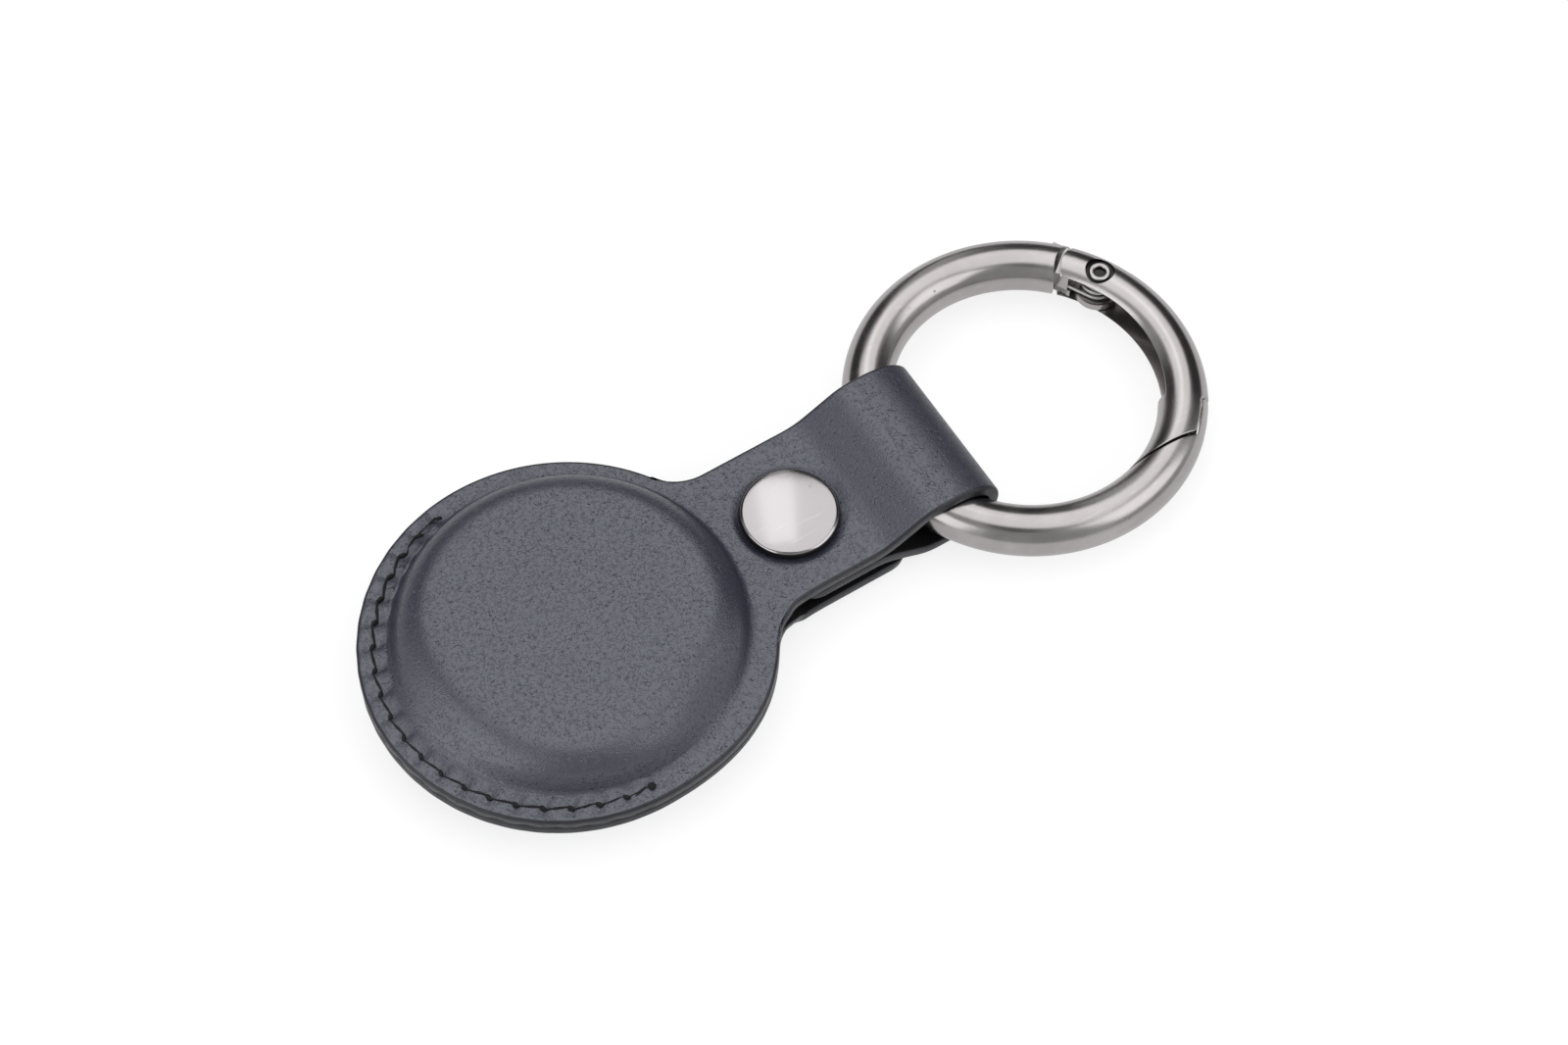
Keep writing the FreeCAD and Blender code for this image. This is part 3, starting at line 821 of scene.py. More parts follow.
@dataclass
class PressedPanel:
    """A cut of leather with a disc, a pressed dome and a neck."""

    name: str
    side: Side
    layout: Layout
    seam: SeamPlan
    depth: float
    dome_edge: float
    dome_shift: float = 0.0009
    wall_angle: float = math.radians(68)
    foot_bend: float = 0.0008
    foot_steps: int = 6
    shoulder_bend: float = 0.0034
    shoulder_steps: int = 10
    crown: float = 0.00012
    edge_strip: float = 0.00055
    spokes: int = 360
    neck_reach: int = 34
    neck_rows: int = 12
    blend_radius: float = 0.0056
    rim_step: float = 0.0002
    run_step: float = 0.0005
    run_spare: float = 0.49
    bend_step: float = math.radians(6)
    pull_power: int = 3
    flare: float = 0.00112
    flare_rise: Pair = (math.radians(-90), math.radians(-45))
    flare_fall: Pair = (math.radians(-19), math.radians(-25.5))
    outer_round: float = 0.00031
    outer_steps: int = 4
    inner_round: float = 0.00014
    inner_steps: int = 2
    sharp: float = math.radians(60)

    @property
    def rim_level(self) -> float:
        """Level of the rim's outer face."""
        return self.layout.front_top if self.side is Side.FRONT else self.layout.back_low

    def dome_section(self, bm: BMesh) -> None:
        """Draw half of the disc's section from its middle to its edge.

        Args:
            bm: An empty mesh.
        """
        way, rim = self.side.value, self.rim_level
        foot = self.dome_edge - self.foot_bend * math.tan(self.wall_angle / 2)
        crest = foot - self.depth / math.tan(self.wall_angle)
        radii = [0, crest, foot, self.layout.disc_radius - self.edge_strip, self.layout.disc_radius]
        levels = [rim + way * self.depth] * 2 + [rim] * 3
        verts = lay_wire(bm, [(self.dome_shift + r, z) for r, z in zip(radii, levels)])
        strip = verts[3].link_edges[1]
        rim_run = verts[3].link_edges[0]
        round_corner(bm, verts[1], self.shoulder_bend, self.shoulder_steps)
        round_corner(bm, verts[2], self.foot_bend, self.foot_steps)
        divide_longer(bm, self.rim_step, [e for e in bm.edges if e.is_valid and e == rim_run])
        long_edges = [e for e in bm.edges if e != strip and e.calc_length() > self.run_step]
        divide_longer(bm, 2 * self.run_step, long_edges)

    def pressed_disc(self, bm: BMesh) -> None:
        """Spin the section to a disc and centre its edge on the origin.

        Args:
            bm: An empty mesh.
        """
        self.dome_section(bm)
        spin_round(bm, self.spokes, self.dome_shift)
        bmesh.ops.remove_doubles(bm, verts=bm.verts[:], dist=MERGE_REACH)
        rim_width = self.layout.disc_radius - self.dome_edge
        flat = self.dome_edge - self.foot_bend - self.depth / math.tan(self.wall_angle) - self.shoulder_bend
        for v in bm.verts:
            out = math.hypot(v.co.x - self.dome_shift, v.co.y)
            v.co.x -= self.dome_shift * max(0.0, (out - self.dome_edge) / rim_width)
            v.co.z += self.side.value * self.crown * (1 - smooth_step(out / flat))

    def neck_columns(self, bm: BMesh) -> tuple[object, list[BMEdge]]:
        """Number the rim's vertices that the neck grows from.

        Args:
            bm: The disc.

        Returns:
            The layer of column numbers and the rim's edges there.
        """
        layer = bm.verts.layers.int.new("column")
        edges = []
        for edge in bm.edges:
            if not edge.is_boundary:
                continue
            degrees = [math.degrees(math.atan2(v.co.y, v.co.x)) * self.spokes / 360 for v in edge.verts]
            if all(abs(d) < self.neck_reach + 0.5 for d in degrees):
                edges.append(edge)
                for v, d in zip(edge.verts, degrees):
                    v[layer] = round(d)
        return layer, edges

    def across(self, column: int) -> float:
        """Place across the neck of a column, with a strip of its own along each edge."""
        if abs(column) == self.neck_reach:
            return math.copysign(self.layout.neck_half, column)
        return column / (self.neck_reach - 1) * (self.layout.neck_half - self.edge_strip)

    def neck(self, bm: BMesh) -> list[BMEdge]:
        """Draw the rim out to the straight neck, its edges following the blend arcs.

        Args:
            bm: The disc.

        Returns:
            The edges across the start of the straight neck.
        """
        layer, edges = self.neck_columns(bm)
        lay = self.layout
        reach = lay.disc_radius + self.blend_radius
        centre_y = lay.neck_half + self.blend_radius
        centre_x = math.sqrt(reach ** 2 - centre_y ** 2)
        first = math.pi + math.atan2(centre_y, centre_x)
        roots = {v[layer]: v.co.copy() for e in edges for v in e.verts}
        for row in range(1, self.neck_rows + 1):
            share = row / self.neck_rows
            arc = first + (1.5 * math.pi - first) * share
            border = Vector((centre_x + self.blend_radius * math.cos(arc),
                             centre_y + self.blend_radius * math.sin(arc), self.rim_level))
            verts, edges = extrude_line(bm, edges)
            for v in verts:
                v.co = self.neck_spot(roots, v[layer], share, border, centre_x)
        return edges

    def neck_spot(self, roots: dict[int, Vector], column: int, share: float, border: Vector,
                  neck_x: float) -> Vector:
        """Place of a vertex between the rim and the straight neck.

        Args:
            roots: Place on the rim of each column.
            column: The vertex's column.
            share: How far it lies from the rim to the neck.
            border: Place of the last column at that share.
            neck_x: Where the straight neck starts.

        Returns:
            The place.
        """
        def between(number: int) -> Vector:
            """Place of a column on a straight line from the rim to the neck."""
            target = Vector((neck_x, self.across(number), self.rim_level))
            return roots[number].lerp(target, share)

        pull = border - between(self.neck_reach)
        weight = abs(column / self.neck_reach) ** self.pull_power
        return between(column) + Vector((pull.x * weight, math.copysign(pull.y * weight, pull.y * column), 0))

    def lay_run(self, bm: BMesh, edges: list[BMEdge], run: Vector) -> list[BMEdge]:
        """Draw the sheet on in a straight run.

        Args:
            bm: The panel.
            edges: The sheet's end.
            run: Way and length of the run.

        Returns:
            The sheet's new end.
        """
        count = round(run.length / self.run_step + self.run_spare)
        for _ in range(count):
            verts, edges = extrude_line(bm, edges)
            bmesh.ops.translate(bm, verts=verts, vec=run / count)
        return edges

    def lay_bend(self, bm: BMesh, edges: list[BMEdge], centre: Vector, angle: float) -> list[BMEdge]:
        """Draw the sheet on round a bend across the holder.

        Args:
            bm: The panel.
            edges: The sheet's end.
            centre: A point on the bend's axis.
            angle: Turn about +Y.

        Returns:
            The sheet's new end.
        """
        verts = list({v for e in edges for v in e.verts})
        steps = max(3, round(abs(angle) / self.bend_step))
        made = bmesh.ops.spin(bm, geom=verts + edges, cent=centre, axis=(0, 1, 0), angle=angle, steps=steps)
        return [g for g in made["geom_last"] if isinstance(g, BMEdge)]

    def lay_path(self, bm: BMesh, edges: list[BMEdge], corners: list[Pair],
                 radii: list[float]) -> list[BMEdge]:
        """Draw the sheet on along straight runs joined by bends.

        Args:
            bm: The panel.
            edges: The sheet's end, at the first corner.
            corners: Places along and up, from the sheet's end.
            radii: Bend at each corner between the first and the last.

        Returns:
            The sheet's new end.
        """
        points = [Vector((x, 0, z)) for x, z in corners]
        here = points[0]
        for i, radius in enumerate(radii, 1):
            before = (points[i] - points[i - 1]).normalized()
            after = (points[i + 1] - points[i]).normalized()
            angle = math.copysign(before.angle(after), before.cross(after).y)
            start = points[i] - before * radius * math.tan(abs(angle) / 2)
            if (start - here).dot(before) > SHORTEST_RUN:
                edges = self.lay_run(bm, edges, start - here)
            inward = (after - before).normalized()
            inward = (inward - before * inward.dot(before)).normalized()
            edges = self.lay_bend(bm, edges, start + inward * radius, angle)
            here = points[i] + after * radius * math.tan(abs(angle) / 2)
        return self.lay_run(bm, edges, points[-1] - here)

    def round_end(self, bm: BMesh, end_x: float, way: int, level: float, radius: float) -> None:
        """Round the corners of a strap's end.

        Args:
            bm: The panel.
            end_x: Where the strap ends.
            way: 1 where it ends towards +X, -1 towards -X.
            level: Level of the strap's outer face.
            radius: Radius of the corners.
        """
        half = self.layout.neck_half
        for v in bm.verts:
            into = radius - way * (end_x - v.co.x)
            if into > 0 and abs(v.co.z - level) < self.layout.leather / 2:
                limit = half - radius + math.sqrt(max(0.0, radius ** 2 - into ** 2))
                v.co.y *= limit / half

    def flare_open_side(self, bm: BMesh) -> None:
        """Widen the rim where the pocket has no seam.

        Args:
            bm: The sheet's outer face.
        """
        lay, way = self.layout, self.side.value
        for v in bm.verts:
            out = v.co.xy.length
            angle = math.atan2(v.co.y, v.co.x)
            (a, b), (c, d) = self.flare_rise, self.flare_fall
            share = smooth_step((angle - a) / (b - a)) * smooth_step((angle - c) / (d - c))
            if share == 0 or way * (v.co.z - lay.seam_level) < 0:
                continue
            beyond = smooth_step((out - self.dome_edge) / (lay.disc_radius - self.dome_edge))
            v.co.xy *= 1 + self.flare * share * beyond / out

    def thicken(self, bm: BMesh) -> Object:
        """Give the sheet its thickness and its rounded, painted edges.

        Args:
            bm: The sheet's outer face, which is freed.

        Returns:
            The panel.
        """
        bmesh.ops.recalc_face_normals(bm, faces=bm.faces[:])
        middle = min(bm.faces, key=lambda f: f.calc_center_median().xy.length)
        if middle.normal.z * self.side.value < 0:
            bmesh.ops.reverse_faces(bm, faces=bm.faces[:])
        panel = new_object(bm, self.name)
        for _ in Face:
            panel.data.materials.append(None)
        shell = panel.modifiers.new("thickness", "SOLIDIFY")
        shell.thickness = self.layout.leather
        shell.offset = -1
        shell.use_even_offset = True
        shell.use_quality_normals = True
        shell.material_offset = Face.LINING.value
        shell.material_offset_rim = Face.EDGE.value
        apply_modifiers(panel)
        bm = bmesh.new()
        bm.from_mesh(panel.data)
        for face, size, steps in ((Face.GRAIN, self.outer_round, self.outer_steps),
                                  (Face.LINING, self.inner_round, self.inner_steps)):
            pair = {face.value, Face.EDGE.value}
            edges = [e for e in bm.edges if {f.material_index for f in e.link_faces} == pair]
            made = bmesh.ops.bevel(bm, geom=edges, offset=size, segments=steps, profile=0.5, affect="EDGES",
                                   material=-1)
            for f in made["faces"]:
                f.material_index = Face.EDGE.value
        bm.to_mesh(panel.data)
        bm.free()
        shade_smooth(panel.data, self.sharp)
        return panel

    def dress(self, finishes: Finishes) -> None:
        """Build the panel and give it its grain, painted edges and lining."""
        give_finish(self.build(), "leather", finishes.grain, finishes.edge, finishes.lining)


@dataclass
class FrontLeather(PressedPanel):
    """Front panel, strap and tail, one cut of leather."""

    crease_out: float = 0.0007
    crest_back: float = 0.0085
    dip_back: float = 0.0087
    crease_bend: float = 0.006
    crest_bend: float = 0.0055
    tail_corner: float = 0.0026
    arch_start: float = 0.0058
    give_before: float = 0.001
    give_after: float = 0.004
    slack_middle: Pair = (math.radians(188), math.radians(295))
    slack_width: Pair = (math.radians(32), math.radians(24))
    slack_share: Pair = (1.0, 0.85)
    slack_start: float = 0.0134
    cap_radius: float = 0.0053
    cap_sink: float = 0.00038
    cap_sink_width: float = 0.00045

    def build(self) -> Object:
        """Build the panel.

        Returns:
            The panel.
        """
        lay = self.layout
        bm = bmesh.new()
        self.pressed_disc(bm)
        edges = self.neck(bm)
        start = next(iter(edges)).verts[0].co.x
        crease = lay.bend_line + self.crease_out
        corners = [(start, lay.front_top), (crease, lay.front_top),
                   (lay.fold_end - self.crest_back, lay.loop_top),
                   (lay.fold_end, lay.loop_top), (lay.fold_end, lay.loop_low),
                   (lay.fold_end - self.dip_back, lay.loop_low), (crease, lay.tail_low),
                   (lay.tail_end, lay.tail_low)]
        self.lay_path(bm, edges, corners, [self.crease_bend, self.crest_bend, lay.fold, lay.fold,
                                           self.crest_bend, self.crease_bend])
        self.round_end(bm, lay.tail_end, -1, lay.tail_low, self.tail_corner)
        self.slacken_wall(bm)
        self.flare_open_side(bm)
        self.arch_loop(bm)
        for v in bm.verts:
            if v.co.z > lay.seam_level:
                v.co.z -= self.sink(v.co.x, v.co.y)
        panel = self.thicken(bm)
        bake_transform(panel)
        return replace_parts(panel, "front_panel", "strap_loop", "strap_tail")

    def arch_loop(self, bm: BMesh) -> None:
        """Let the top of the loop fall in one long arch to its end.

        Args:
            bm: The sheet's outer face.
        """
        lay = self.layout
        fold, middle = lay.fold, (lay.loop_top + lay.loop_low) / 2
        for v in bm.verts:
            along = v.co.x - (lay.fold_end - self.arch_start)
            if along <= 0 or v.co.z <= middle:
                continue
            long = math.sqrt(max(0.0, 1 - (along / self.arch_start) ** 2))
            short = math.sqrt(max(1e-9, 1 - max(0.0, (v.co.x - lay.fold_end + fold) / fold) ** 2))
            v.co.z = middle + (v.co.z - middle) * min(1.0, long / short)

    def slacken_wall(self, bm: BMesh) -> None:
        """Ease the dome's wall to a gentle slope where the leather isn't drawn tight.

        Args:
            bm: The sheet's outer face.
        """
        near = self.slack_start
        for v in bm.verts:
            out = math.hypot(v.co.x - self.dome_shift, v.co.y)
            angle = math.atan2(v.co.y, v.co.x - self.dome_shift) % TURN
            far = self.seam.radius - self.dome_shift * math.cos(angle)
            if not near < out < far or v.co.z < self.layout.seam_level:
                continue
            share = sum(amount * bump_shape(angle - middle, width) for middle, width, amount
                        in zip(self.slack_middle, self.slack_width, self.slack_share))
            slope = self.rim_level + self.depth * smooth_step((far - out) / (far - near))
            v.co.z += (slope - v.co.z) * min(1.0, share)

    def sink(self, x: float, y: float) -> float:
        """How far the seam and the snap cap press the leather in at a place.

        Args:
            x: Place along the holder.
            y: Place across it.

        Returns:
            Depth below the flat leather.
        """
        if math.hypot(x, y) < self.layout.disc_radius:
            return self.seam.sink(x, y)
        from_cap = math.hypot(x - self.layout.snap_x, y) - self.cap_radius
        return self.cap_sink * bump_shape(max(0.0, from_cap), self.cap_sink_width)


@dataclass
class BackLeather(PressedPanel):
    """Back panel and tongue, one cut of leather."""

    tongue_corner: float = 0.0035
    tip_out: float = 0.0018
    tip_droop: float = 0.001
    tip_start: float = 0.0036
    crown: float = 0.0
    dip_start: float = 0.0198
    dip_end: float = 0.0236
    flap_start: float = -0.0009
    flap_end: float = 0.005

    def build(self) -> Object:
        """Build the panel.

        Returns:
            The panel.
        """
        lay = self.layout
        bm = bmesh.new()
        self.pressed_disc(bm)
        edges = self.neck(bm)
        start = next(iter(edges)).verts[0].co.x
        tip = lay.tongue_end + self.tip_out
        self.lay_run(bm, edges, Vector((tip - start, 0, 0)))
        self.round_end(bm, tip, 1, self.rim_level, self.tongue_corner)
        self.flare_open_side(bm)
        drop = self.rim_level - lay.tongue_low
        for v in bm.verts:
            if math.hypot(v.co.x, v.co.y) < lay.disc_radius and v.co.x < 0:
                v.co.z += self.seam.sink(v.co.x, v.co.y)
            if math.hypot(v.co.x - self.dome_shift, v.co.y) > self.dome_edge:
                v.co.z -= drop * smooth_step((v.co.x - self.dip_start) / (self.dip_end - self.dip_start))
                v.co.z -= self.tip_droop * smooth_step(1 - (tip - v.co.x) / self.tip_start)
        panel = self.thicken(bm)
        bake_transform(panel)
        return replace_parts(panel, "back_panel", "back_flap")


@dataclass
class Seam:
    """Stitches on one face of the rim, in two-ply thread."""

    name: str
    node: str
    plan: SeamPlan
    side: Side
    level: float
    thread_radius: float = 0.00014
    ply_share: float = 0.62
    twist: float = 5.2
    slant: float = 0.0002
    rise: float = 0.00002
    dive: float = 0.0006
    hole_share: float = 2.3
    hole_stretch: float = 1.35
    hole_turn: float = math.radians(-35)
    hole_sink: float = 0.00018
    arch_power: float = 0.45
    slant_spread: Pair = (0.7, 1.3)
    back_pull: float = 1.5
    back_spread: Pair = (0.8, 0.95)
    knot_share: float = 2.8
    sides: int = 10
    stations: int = 18
    seed: int = 7

    def stitch(self, bm: BMesh, first: float, last: float, slant: float, pull: float) -> None:
        """Sew one stitch between two angles of the seam.

        Args:
            bm: The mesh to add to.
            first: Angle of the first hole.
            last: Angle of the second hole.
            slant: How far the ends lie to the sides of the seam line.
            pull: How hard the thread pulls, which lays it open.
        """
        spots = []
        for i in range(self.stations + 1):
            share = i / self.stations
            angle = first + (last - first) * share
            out = 1 + slant * (1 - 2 * share) / self.plan.radius
            arch = math.sin(math.pi * share) ** self.arch_power
            height = self.level + self.side.value * (arch * (self.dive + self.rise) - self.dive)
            spots.append(self.plan.spot(angle) * out + UP * height)
        ways = headings(spots)
        ways.append(ways[-1])
        steps = [placement(spot, way, self.twist * i / self.stations, self.ply_share)
                 for i, (spot, way) in enumerate(zip(spots, ways))]
        sweep(bm, self.thread_radius * math.sqrt(pull), self.sides, steps)

    def build(self) -> Object:
        """Sew the seam, with a back stitch at each end and a knot.

        Returns:
            The stitches, riding on the pocket.
        """
        draw = random.Random(self.seed)
        plan = self.plan
        bm = bmesh.new()
        for i in range(plan.count):
            first = plan.first + i * plan.step
            pull = plan.tension(i)
            slant = self.slant * pull * draw.uniform(*self.slant_spread)
            self.stitch(bm, first, first + plan.step, slant, pull)
        slit = Matrix.Diagonal((1 / self.hole_stretch, self.hole_stretch, 1, 1))
        for i in range(plan.count + 1):
            angle = plan.first + i * plan.step
            place = plan.spot(angle) + UP * (self.level - self.side.value * self.hole_sink)
            turn = Matrix.Rotation(angle + self.hole_turn, 4, "Z")
            bmesh.ops.create_icosphere(bm, subdivisions=2, radius=self.hole_share * self.thread_radius,
                                       matrix=Matrix.Translation(place) @ turn @ slit)
        for end, way in ((plan.first, 1), (plan.last, -1)):
            back = end + way * plan.step * draw.uniform(*self.back_spread)
            self.stitch(bm, end, back, -self.back_pull * self.slant, self.back_pull)
        knot = Matrix.Translation(plan.spot(plan.last) + UP * self.level)
        bmesh.ops.create_icosphere(bm, subdivisions=3, radius=self.knot_share * self.thread_radius,
                                   matrix=knot)
        bmesh.ops.recalc_face_normals(bm, faces=bm.faces[:])
        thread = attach(new_object(bm, self.name), "pocket")
        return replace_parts(thread, self.node)

    def dress(self, finishes: Finishes) -> None:
        """Sew the seam and give it its thread."""
        give_finish(self.build(), "thread", finishes.thread)


@dataclass
class Snap:
    """The polished cap on the neck, over the fastener's own solids."""

    layout: Layout
    radius: float = 0.0053
    rim: float = 0.0006
    crown: float = 0.00045
    roll: float = 0.00052
    roll_steps: int = 8
    hem: float = 0.00013
    hem_steps: int = 4
    lip: float = 0.0007
    sunk: float = 0.00018
    # Faces that tilt further from up than this get near-black metal: painted shade round the cap
    painted_shade_tilt: float = math.cos(math.radians(48))
    crown_cuts: int = 14
    spokes: int = 128

    def build(self) -> Object:
        """Spin the cap.

        Returns:
            The cap, riding on the pocket, with its edge in the second slot, near-black as painted shade and
            painted dark reflection.
        """
        bm = bmesh.new()
        low, rim = self.layout.front_top - self.sunk, self.layout.front_top + self.rim
        inner = self.radius - self.lip
        verts = lay_wire(bm, [(inner, low + self.roll), (inner, low), (self.radius, low), (self.radius, rim),
                              (0, rim)])
        round_corner(bm, verts[3], self.roll, self.roll_steps)
        round_corner(bm, verts[2], self.hem, self.hem_steps)
        top = max(bm.edges, key=lambda e: e.calc_length())
        bmesh.ops.subdivide_edges(bm, edges=[top], cuts=self.crown_cuts)
        for v in bm.verts:
            if v.co.z > rim - self.roll:
                v.co.z += self.crown * (1 - (v.co.x / self.radius) ** 2)
        spin_round(bm, self.spokes)
        bmesh.ops.remove_doubles(bm, verts=bm.verts[:], dist=MERGE_REACH)
        bmesh.ops.recalc_face_normals(bm, faces=bm.faces[:])
        bm.normal_update()
        # The cap's steep rolled edge takes the second slot: painted shade and a painted dark reflection, not
        # the metal's own colour
        for f in bm.faces:
            f.material_index = int(f.normal.z < self.painted_shade_tilt)
        bmesh.ops.translate(bm, verts=bm.verts[:], vec=(self.layout.snap_x, 0, 0))
        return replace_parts(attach(new_object(bm, "polished_snap_cap"), "pocket"), "snap_cap")

    def dress(self, finishes: Finishes) -> None:
        """Build the cap, give it its plating with painted shade on its edge, and give the fastener's solids
        their plating.

        Args:
            finishes: The materials.
        """
        # The second material paints shade on the cap's edge
        give_finish(self.build(), "cap_metal", finishes.cap, finishes.dark)
        for node in ("snap_cap_rivet", "snap_socket", "snap_stud", "snap_stud_rivet"):
            give_finish(frame["nodes"][node], "snap_metal", finishes.plate)
        give_finish(frame["nodes"]["snap_socket_spring"], "spring_wire", finishes.wire)


@dataclass
class GateRing:
    """Spring-gate ring, drawn flat about its own centre and then laid in the strap."""

    free_angle: float = math.radians(-56)
    cut_angle: float = math.radians(-3)
    gate_gap: float = 0.00033
    fork_length: float = 0.0043
    fork_gap: float = 0.00065
    channel_half: float = 0.0017
    floor_rise: float = 0.001
    web_start: float = math.radians(8.5)
    channel_end: float = math.radians(-35)
    lip_length: float = 0.0027
    lip_thickness: float = 0.00075
    lip_gap: float = 0.00018
    lip_inset: float = 0.0000275
    eye_radius: float = 0.00245
    eye_thickness: float = 0.0009
    knuckle_out: float = 0.0014
    knuckle_in: float = 0.0021
    knuckle_height: float = 0.00155
    pin_radius: float = 0.001
    pin_bore: float = 0.00062
    pin_play: float = 0.00006
    pin_head: float = 0.0012
    pin_seat: float = 0.0016
    seat_depth: float = 0.00075
    head_rise: float = 0.00042
    wire_radius: float = 0.0002
    coil_radius: float = 0.00175
    coil_pitch: float = 0.00087
    coil_turns: int = 2
    coil_leg: float = 0.0036
    leg_lift: float = 0.0003
    edge_round: float = 0.00013
    edge_steps: int = 3
    sharp: float = math.radians(35)
    bar_sides: int = 80
    arc_sides: int = 24
    channel_sides: int = 18
    lip_sides: int = 14
    wire_sides: int = 12
    body_steps: int = 300
    fork_steps: int = 24
    channel_steps: int = 52
    end_steps: int = 22
    head_steps: int = 5
    coil_steps: int = 32
    eye_spokes: int = 48
    seat_spokes: int = 72
    pin_spokes: int = 64
    centre: Vector = field(init=False)
    tilt: float = field(init=False)
    radius: float = field(init=False)
    pin_angle: float = field(init=False)
    bar: float = field(init=False)

    def __post_init__(self) -> None:
        """Read the ring's place and the pin's place from the joints."""
        joints = {j["name"]: j for j in frame["joints"]}
        axis = joints["ring_turn"]["axis"]
        self.centre = Vector(joints["ring_turn"]["pos_m"])
        self.tilt = math.atan2(axis[0], axis[2])
        pin = self.laid().inverted() @ Vector(joints["gate_open"]["pos_m"])
        self.radius = pin.xy.length
        self.pin_angle = math.atan2(pin.y, pin.x)
        self.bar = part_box("ring_body")[1].y - self.radius

    @property
    def seat_level(self) -> float:
        """Height of the pin's seats above the ring's middle."""
        return self.bar - self.seat_depth

    def laid(self) -> Matrix:
        """Placement of the flat ring in the strap."""
        return Matrix.Translation(self.centre) @ Matrix.Rotation(self.tilt, 4, "Y")

    def at_pin(self) -> Matrix:
        """Placement on the pin, +X away from the ring's centre."""
        return Matrix.Rotation(self.pin_angle, 4, "Z") @ Matrix.Translation((self.radius, 0, 0))

    def hinge_end(self, reach: float) -> Callable[[float], float]:
        """Angle of a round end about the pin, for each distance from the ring's centre.

        Args:
            reach: Radius of the end.

        Returns:
            The function that gives the angle.
        """
        def angle(out: float) -> float:
            """Angle at a distance from the ring's centre."""
            cosine = (out ** 2 + self.radius ** 2 - reach ** 2) / (2 * out * self.radius)
            return self.pin_angle + math.acos(cosine)
        return angle

    def free_end(self, back: float) -> Callable[[float], float]:
        """Angle of the slanted cut at the free end, for each distance from the ring's centre.

        Args:
            back: How far the cut is set back from the gate's own.

        Returns:
            The function that gives the angle.
        """
        along = Vector((math.cos(self.cut_angle), math.sin(self.cut_angle)))
        middle = Vector((math.cos(self.free_angle), math.sin(self.free_angle))) * self.radius
        middle += Vector((along.y, -along.x)) * back

        def angle(out: float) -> float:
            """Angle at a distance from the ring's centre."""
            near = middle.dot(along)
            spot = middle + along * (math.sqrt(near ** 2 - middle.length_squared + out ** 2) - near)
            return math.atan2(spot.y, spot.x)
        return angle

    def bar_arc(self, first: float, last: float, count: int, inset: float = 0.0) -> list[Pair]:
        """Points of the bar's round section, or of one set in from it, from one angle to another.

        Args:
            first: Angle of the first point, from the outside of the ring.
            last: Angle of the last point.
            count: Steps between them.
            inset: How far the points are set in.

        Returns:
            Distance from the ring's centre and height of each point.
        """
        angles = [first + (last - first) * i / count for i in range(count + 1)]
        bar = self.bar - inset
        return [(self.radius + bar * math.cos(a), bar * math.sin(a)) for a in angles]

    def stretch(self, outline: list[Pair], start: Callable[[float], float], end: Callable[[float], float],
                steps: int) -> BMesh:
        """Spin a closed section round the ring, between ends that may be slanted or round.

        Args:
            outline: Distance from the ring's centre and height of each corner.
            start: Angle where the stretch starts, for each distance from the centre.
            end: Angle where it ends.
            steps: Sections along the stretch.

        Returns:
            The stretch, open at its ends.
        """
        bm = bmesh.new()
        lay_wire(bm, outline, closed=True)
        bmesh.ops.spin(bm, geom=bm.verts[:] + bm.edges[:], cent=(0, 0, 0), axis=UP, angle=1.0, steps=steps)
        for v in bm.verts:
            out = v.co.xy.length
            share = math.atan2(v.co.y, v.co.x)
            angle = start(out) + (end(out) - start(out)) * share
            v.co.x, v.co.y = out * math.cos(angle), out * math.sin(angle)
        return bm

    def close(self, bm: BMesh) -> None:
        """Join the stretches, cap their ends and round the sharp edges.

        Args:
            bm: The stretches.
        """
        bmesh.ops.remove_doubles(bm, verts=bm.verts[:], dist=MERGE_REACH)
        bmesh.ops.holes_fill(bm, edges=[e for e in bm.edges if e.is_boundary], sides=0)
        bmesh.ops.recalc_face_normals(bm, faces=bm.faces[:])
        sharp = [e for e in bm.edges if e.is_manifold and e.calc_face_angle() > self.sharp]
        bmesh.ops.bevel(bm, geom=sharp, offset=self.edge_round, segments=self.edge_steps, profile=0.5,
                        affect="EDGES", material=-1, clamp_overlap=True)

    def lip_end(self, gap: float) -> float:
        """Level across the ring where the stop lip ends."""
        return self.radius * math.sin(self.free_angle) + self.lip_length + gap

    def stop_lip(self) -> BMesh:
        """Sliver of the body that laps the outside of the gate's free end.

        Returns:
            The closed lip.
        """
        half = math.acos((self.bar - self.lip_thickness) / self.bar)
        root = self.free_end(self.gate_gap + self.bar / 3)

        def tip(out: float) -> float:
            """Angle of the lip's end, which lies straight along the ring's X axis."""
            return math.asin(self.lip_end(0) / out)

        outline = self.bar_arc(-half, half, self.lip_sides, self.lip_inset)
        lip = self.stretch(outline, root, tip, self.fork_steps)
        self.close(lip)
        return lip

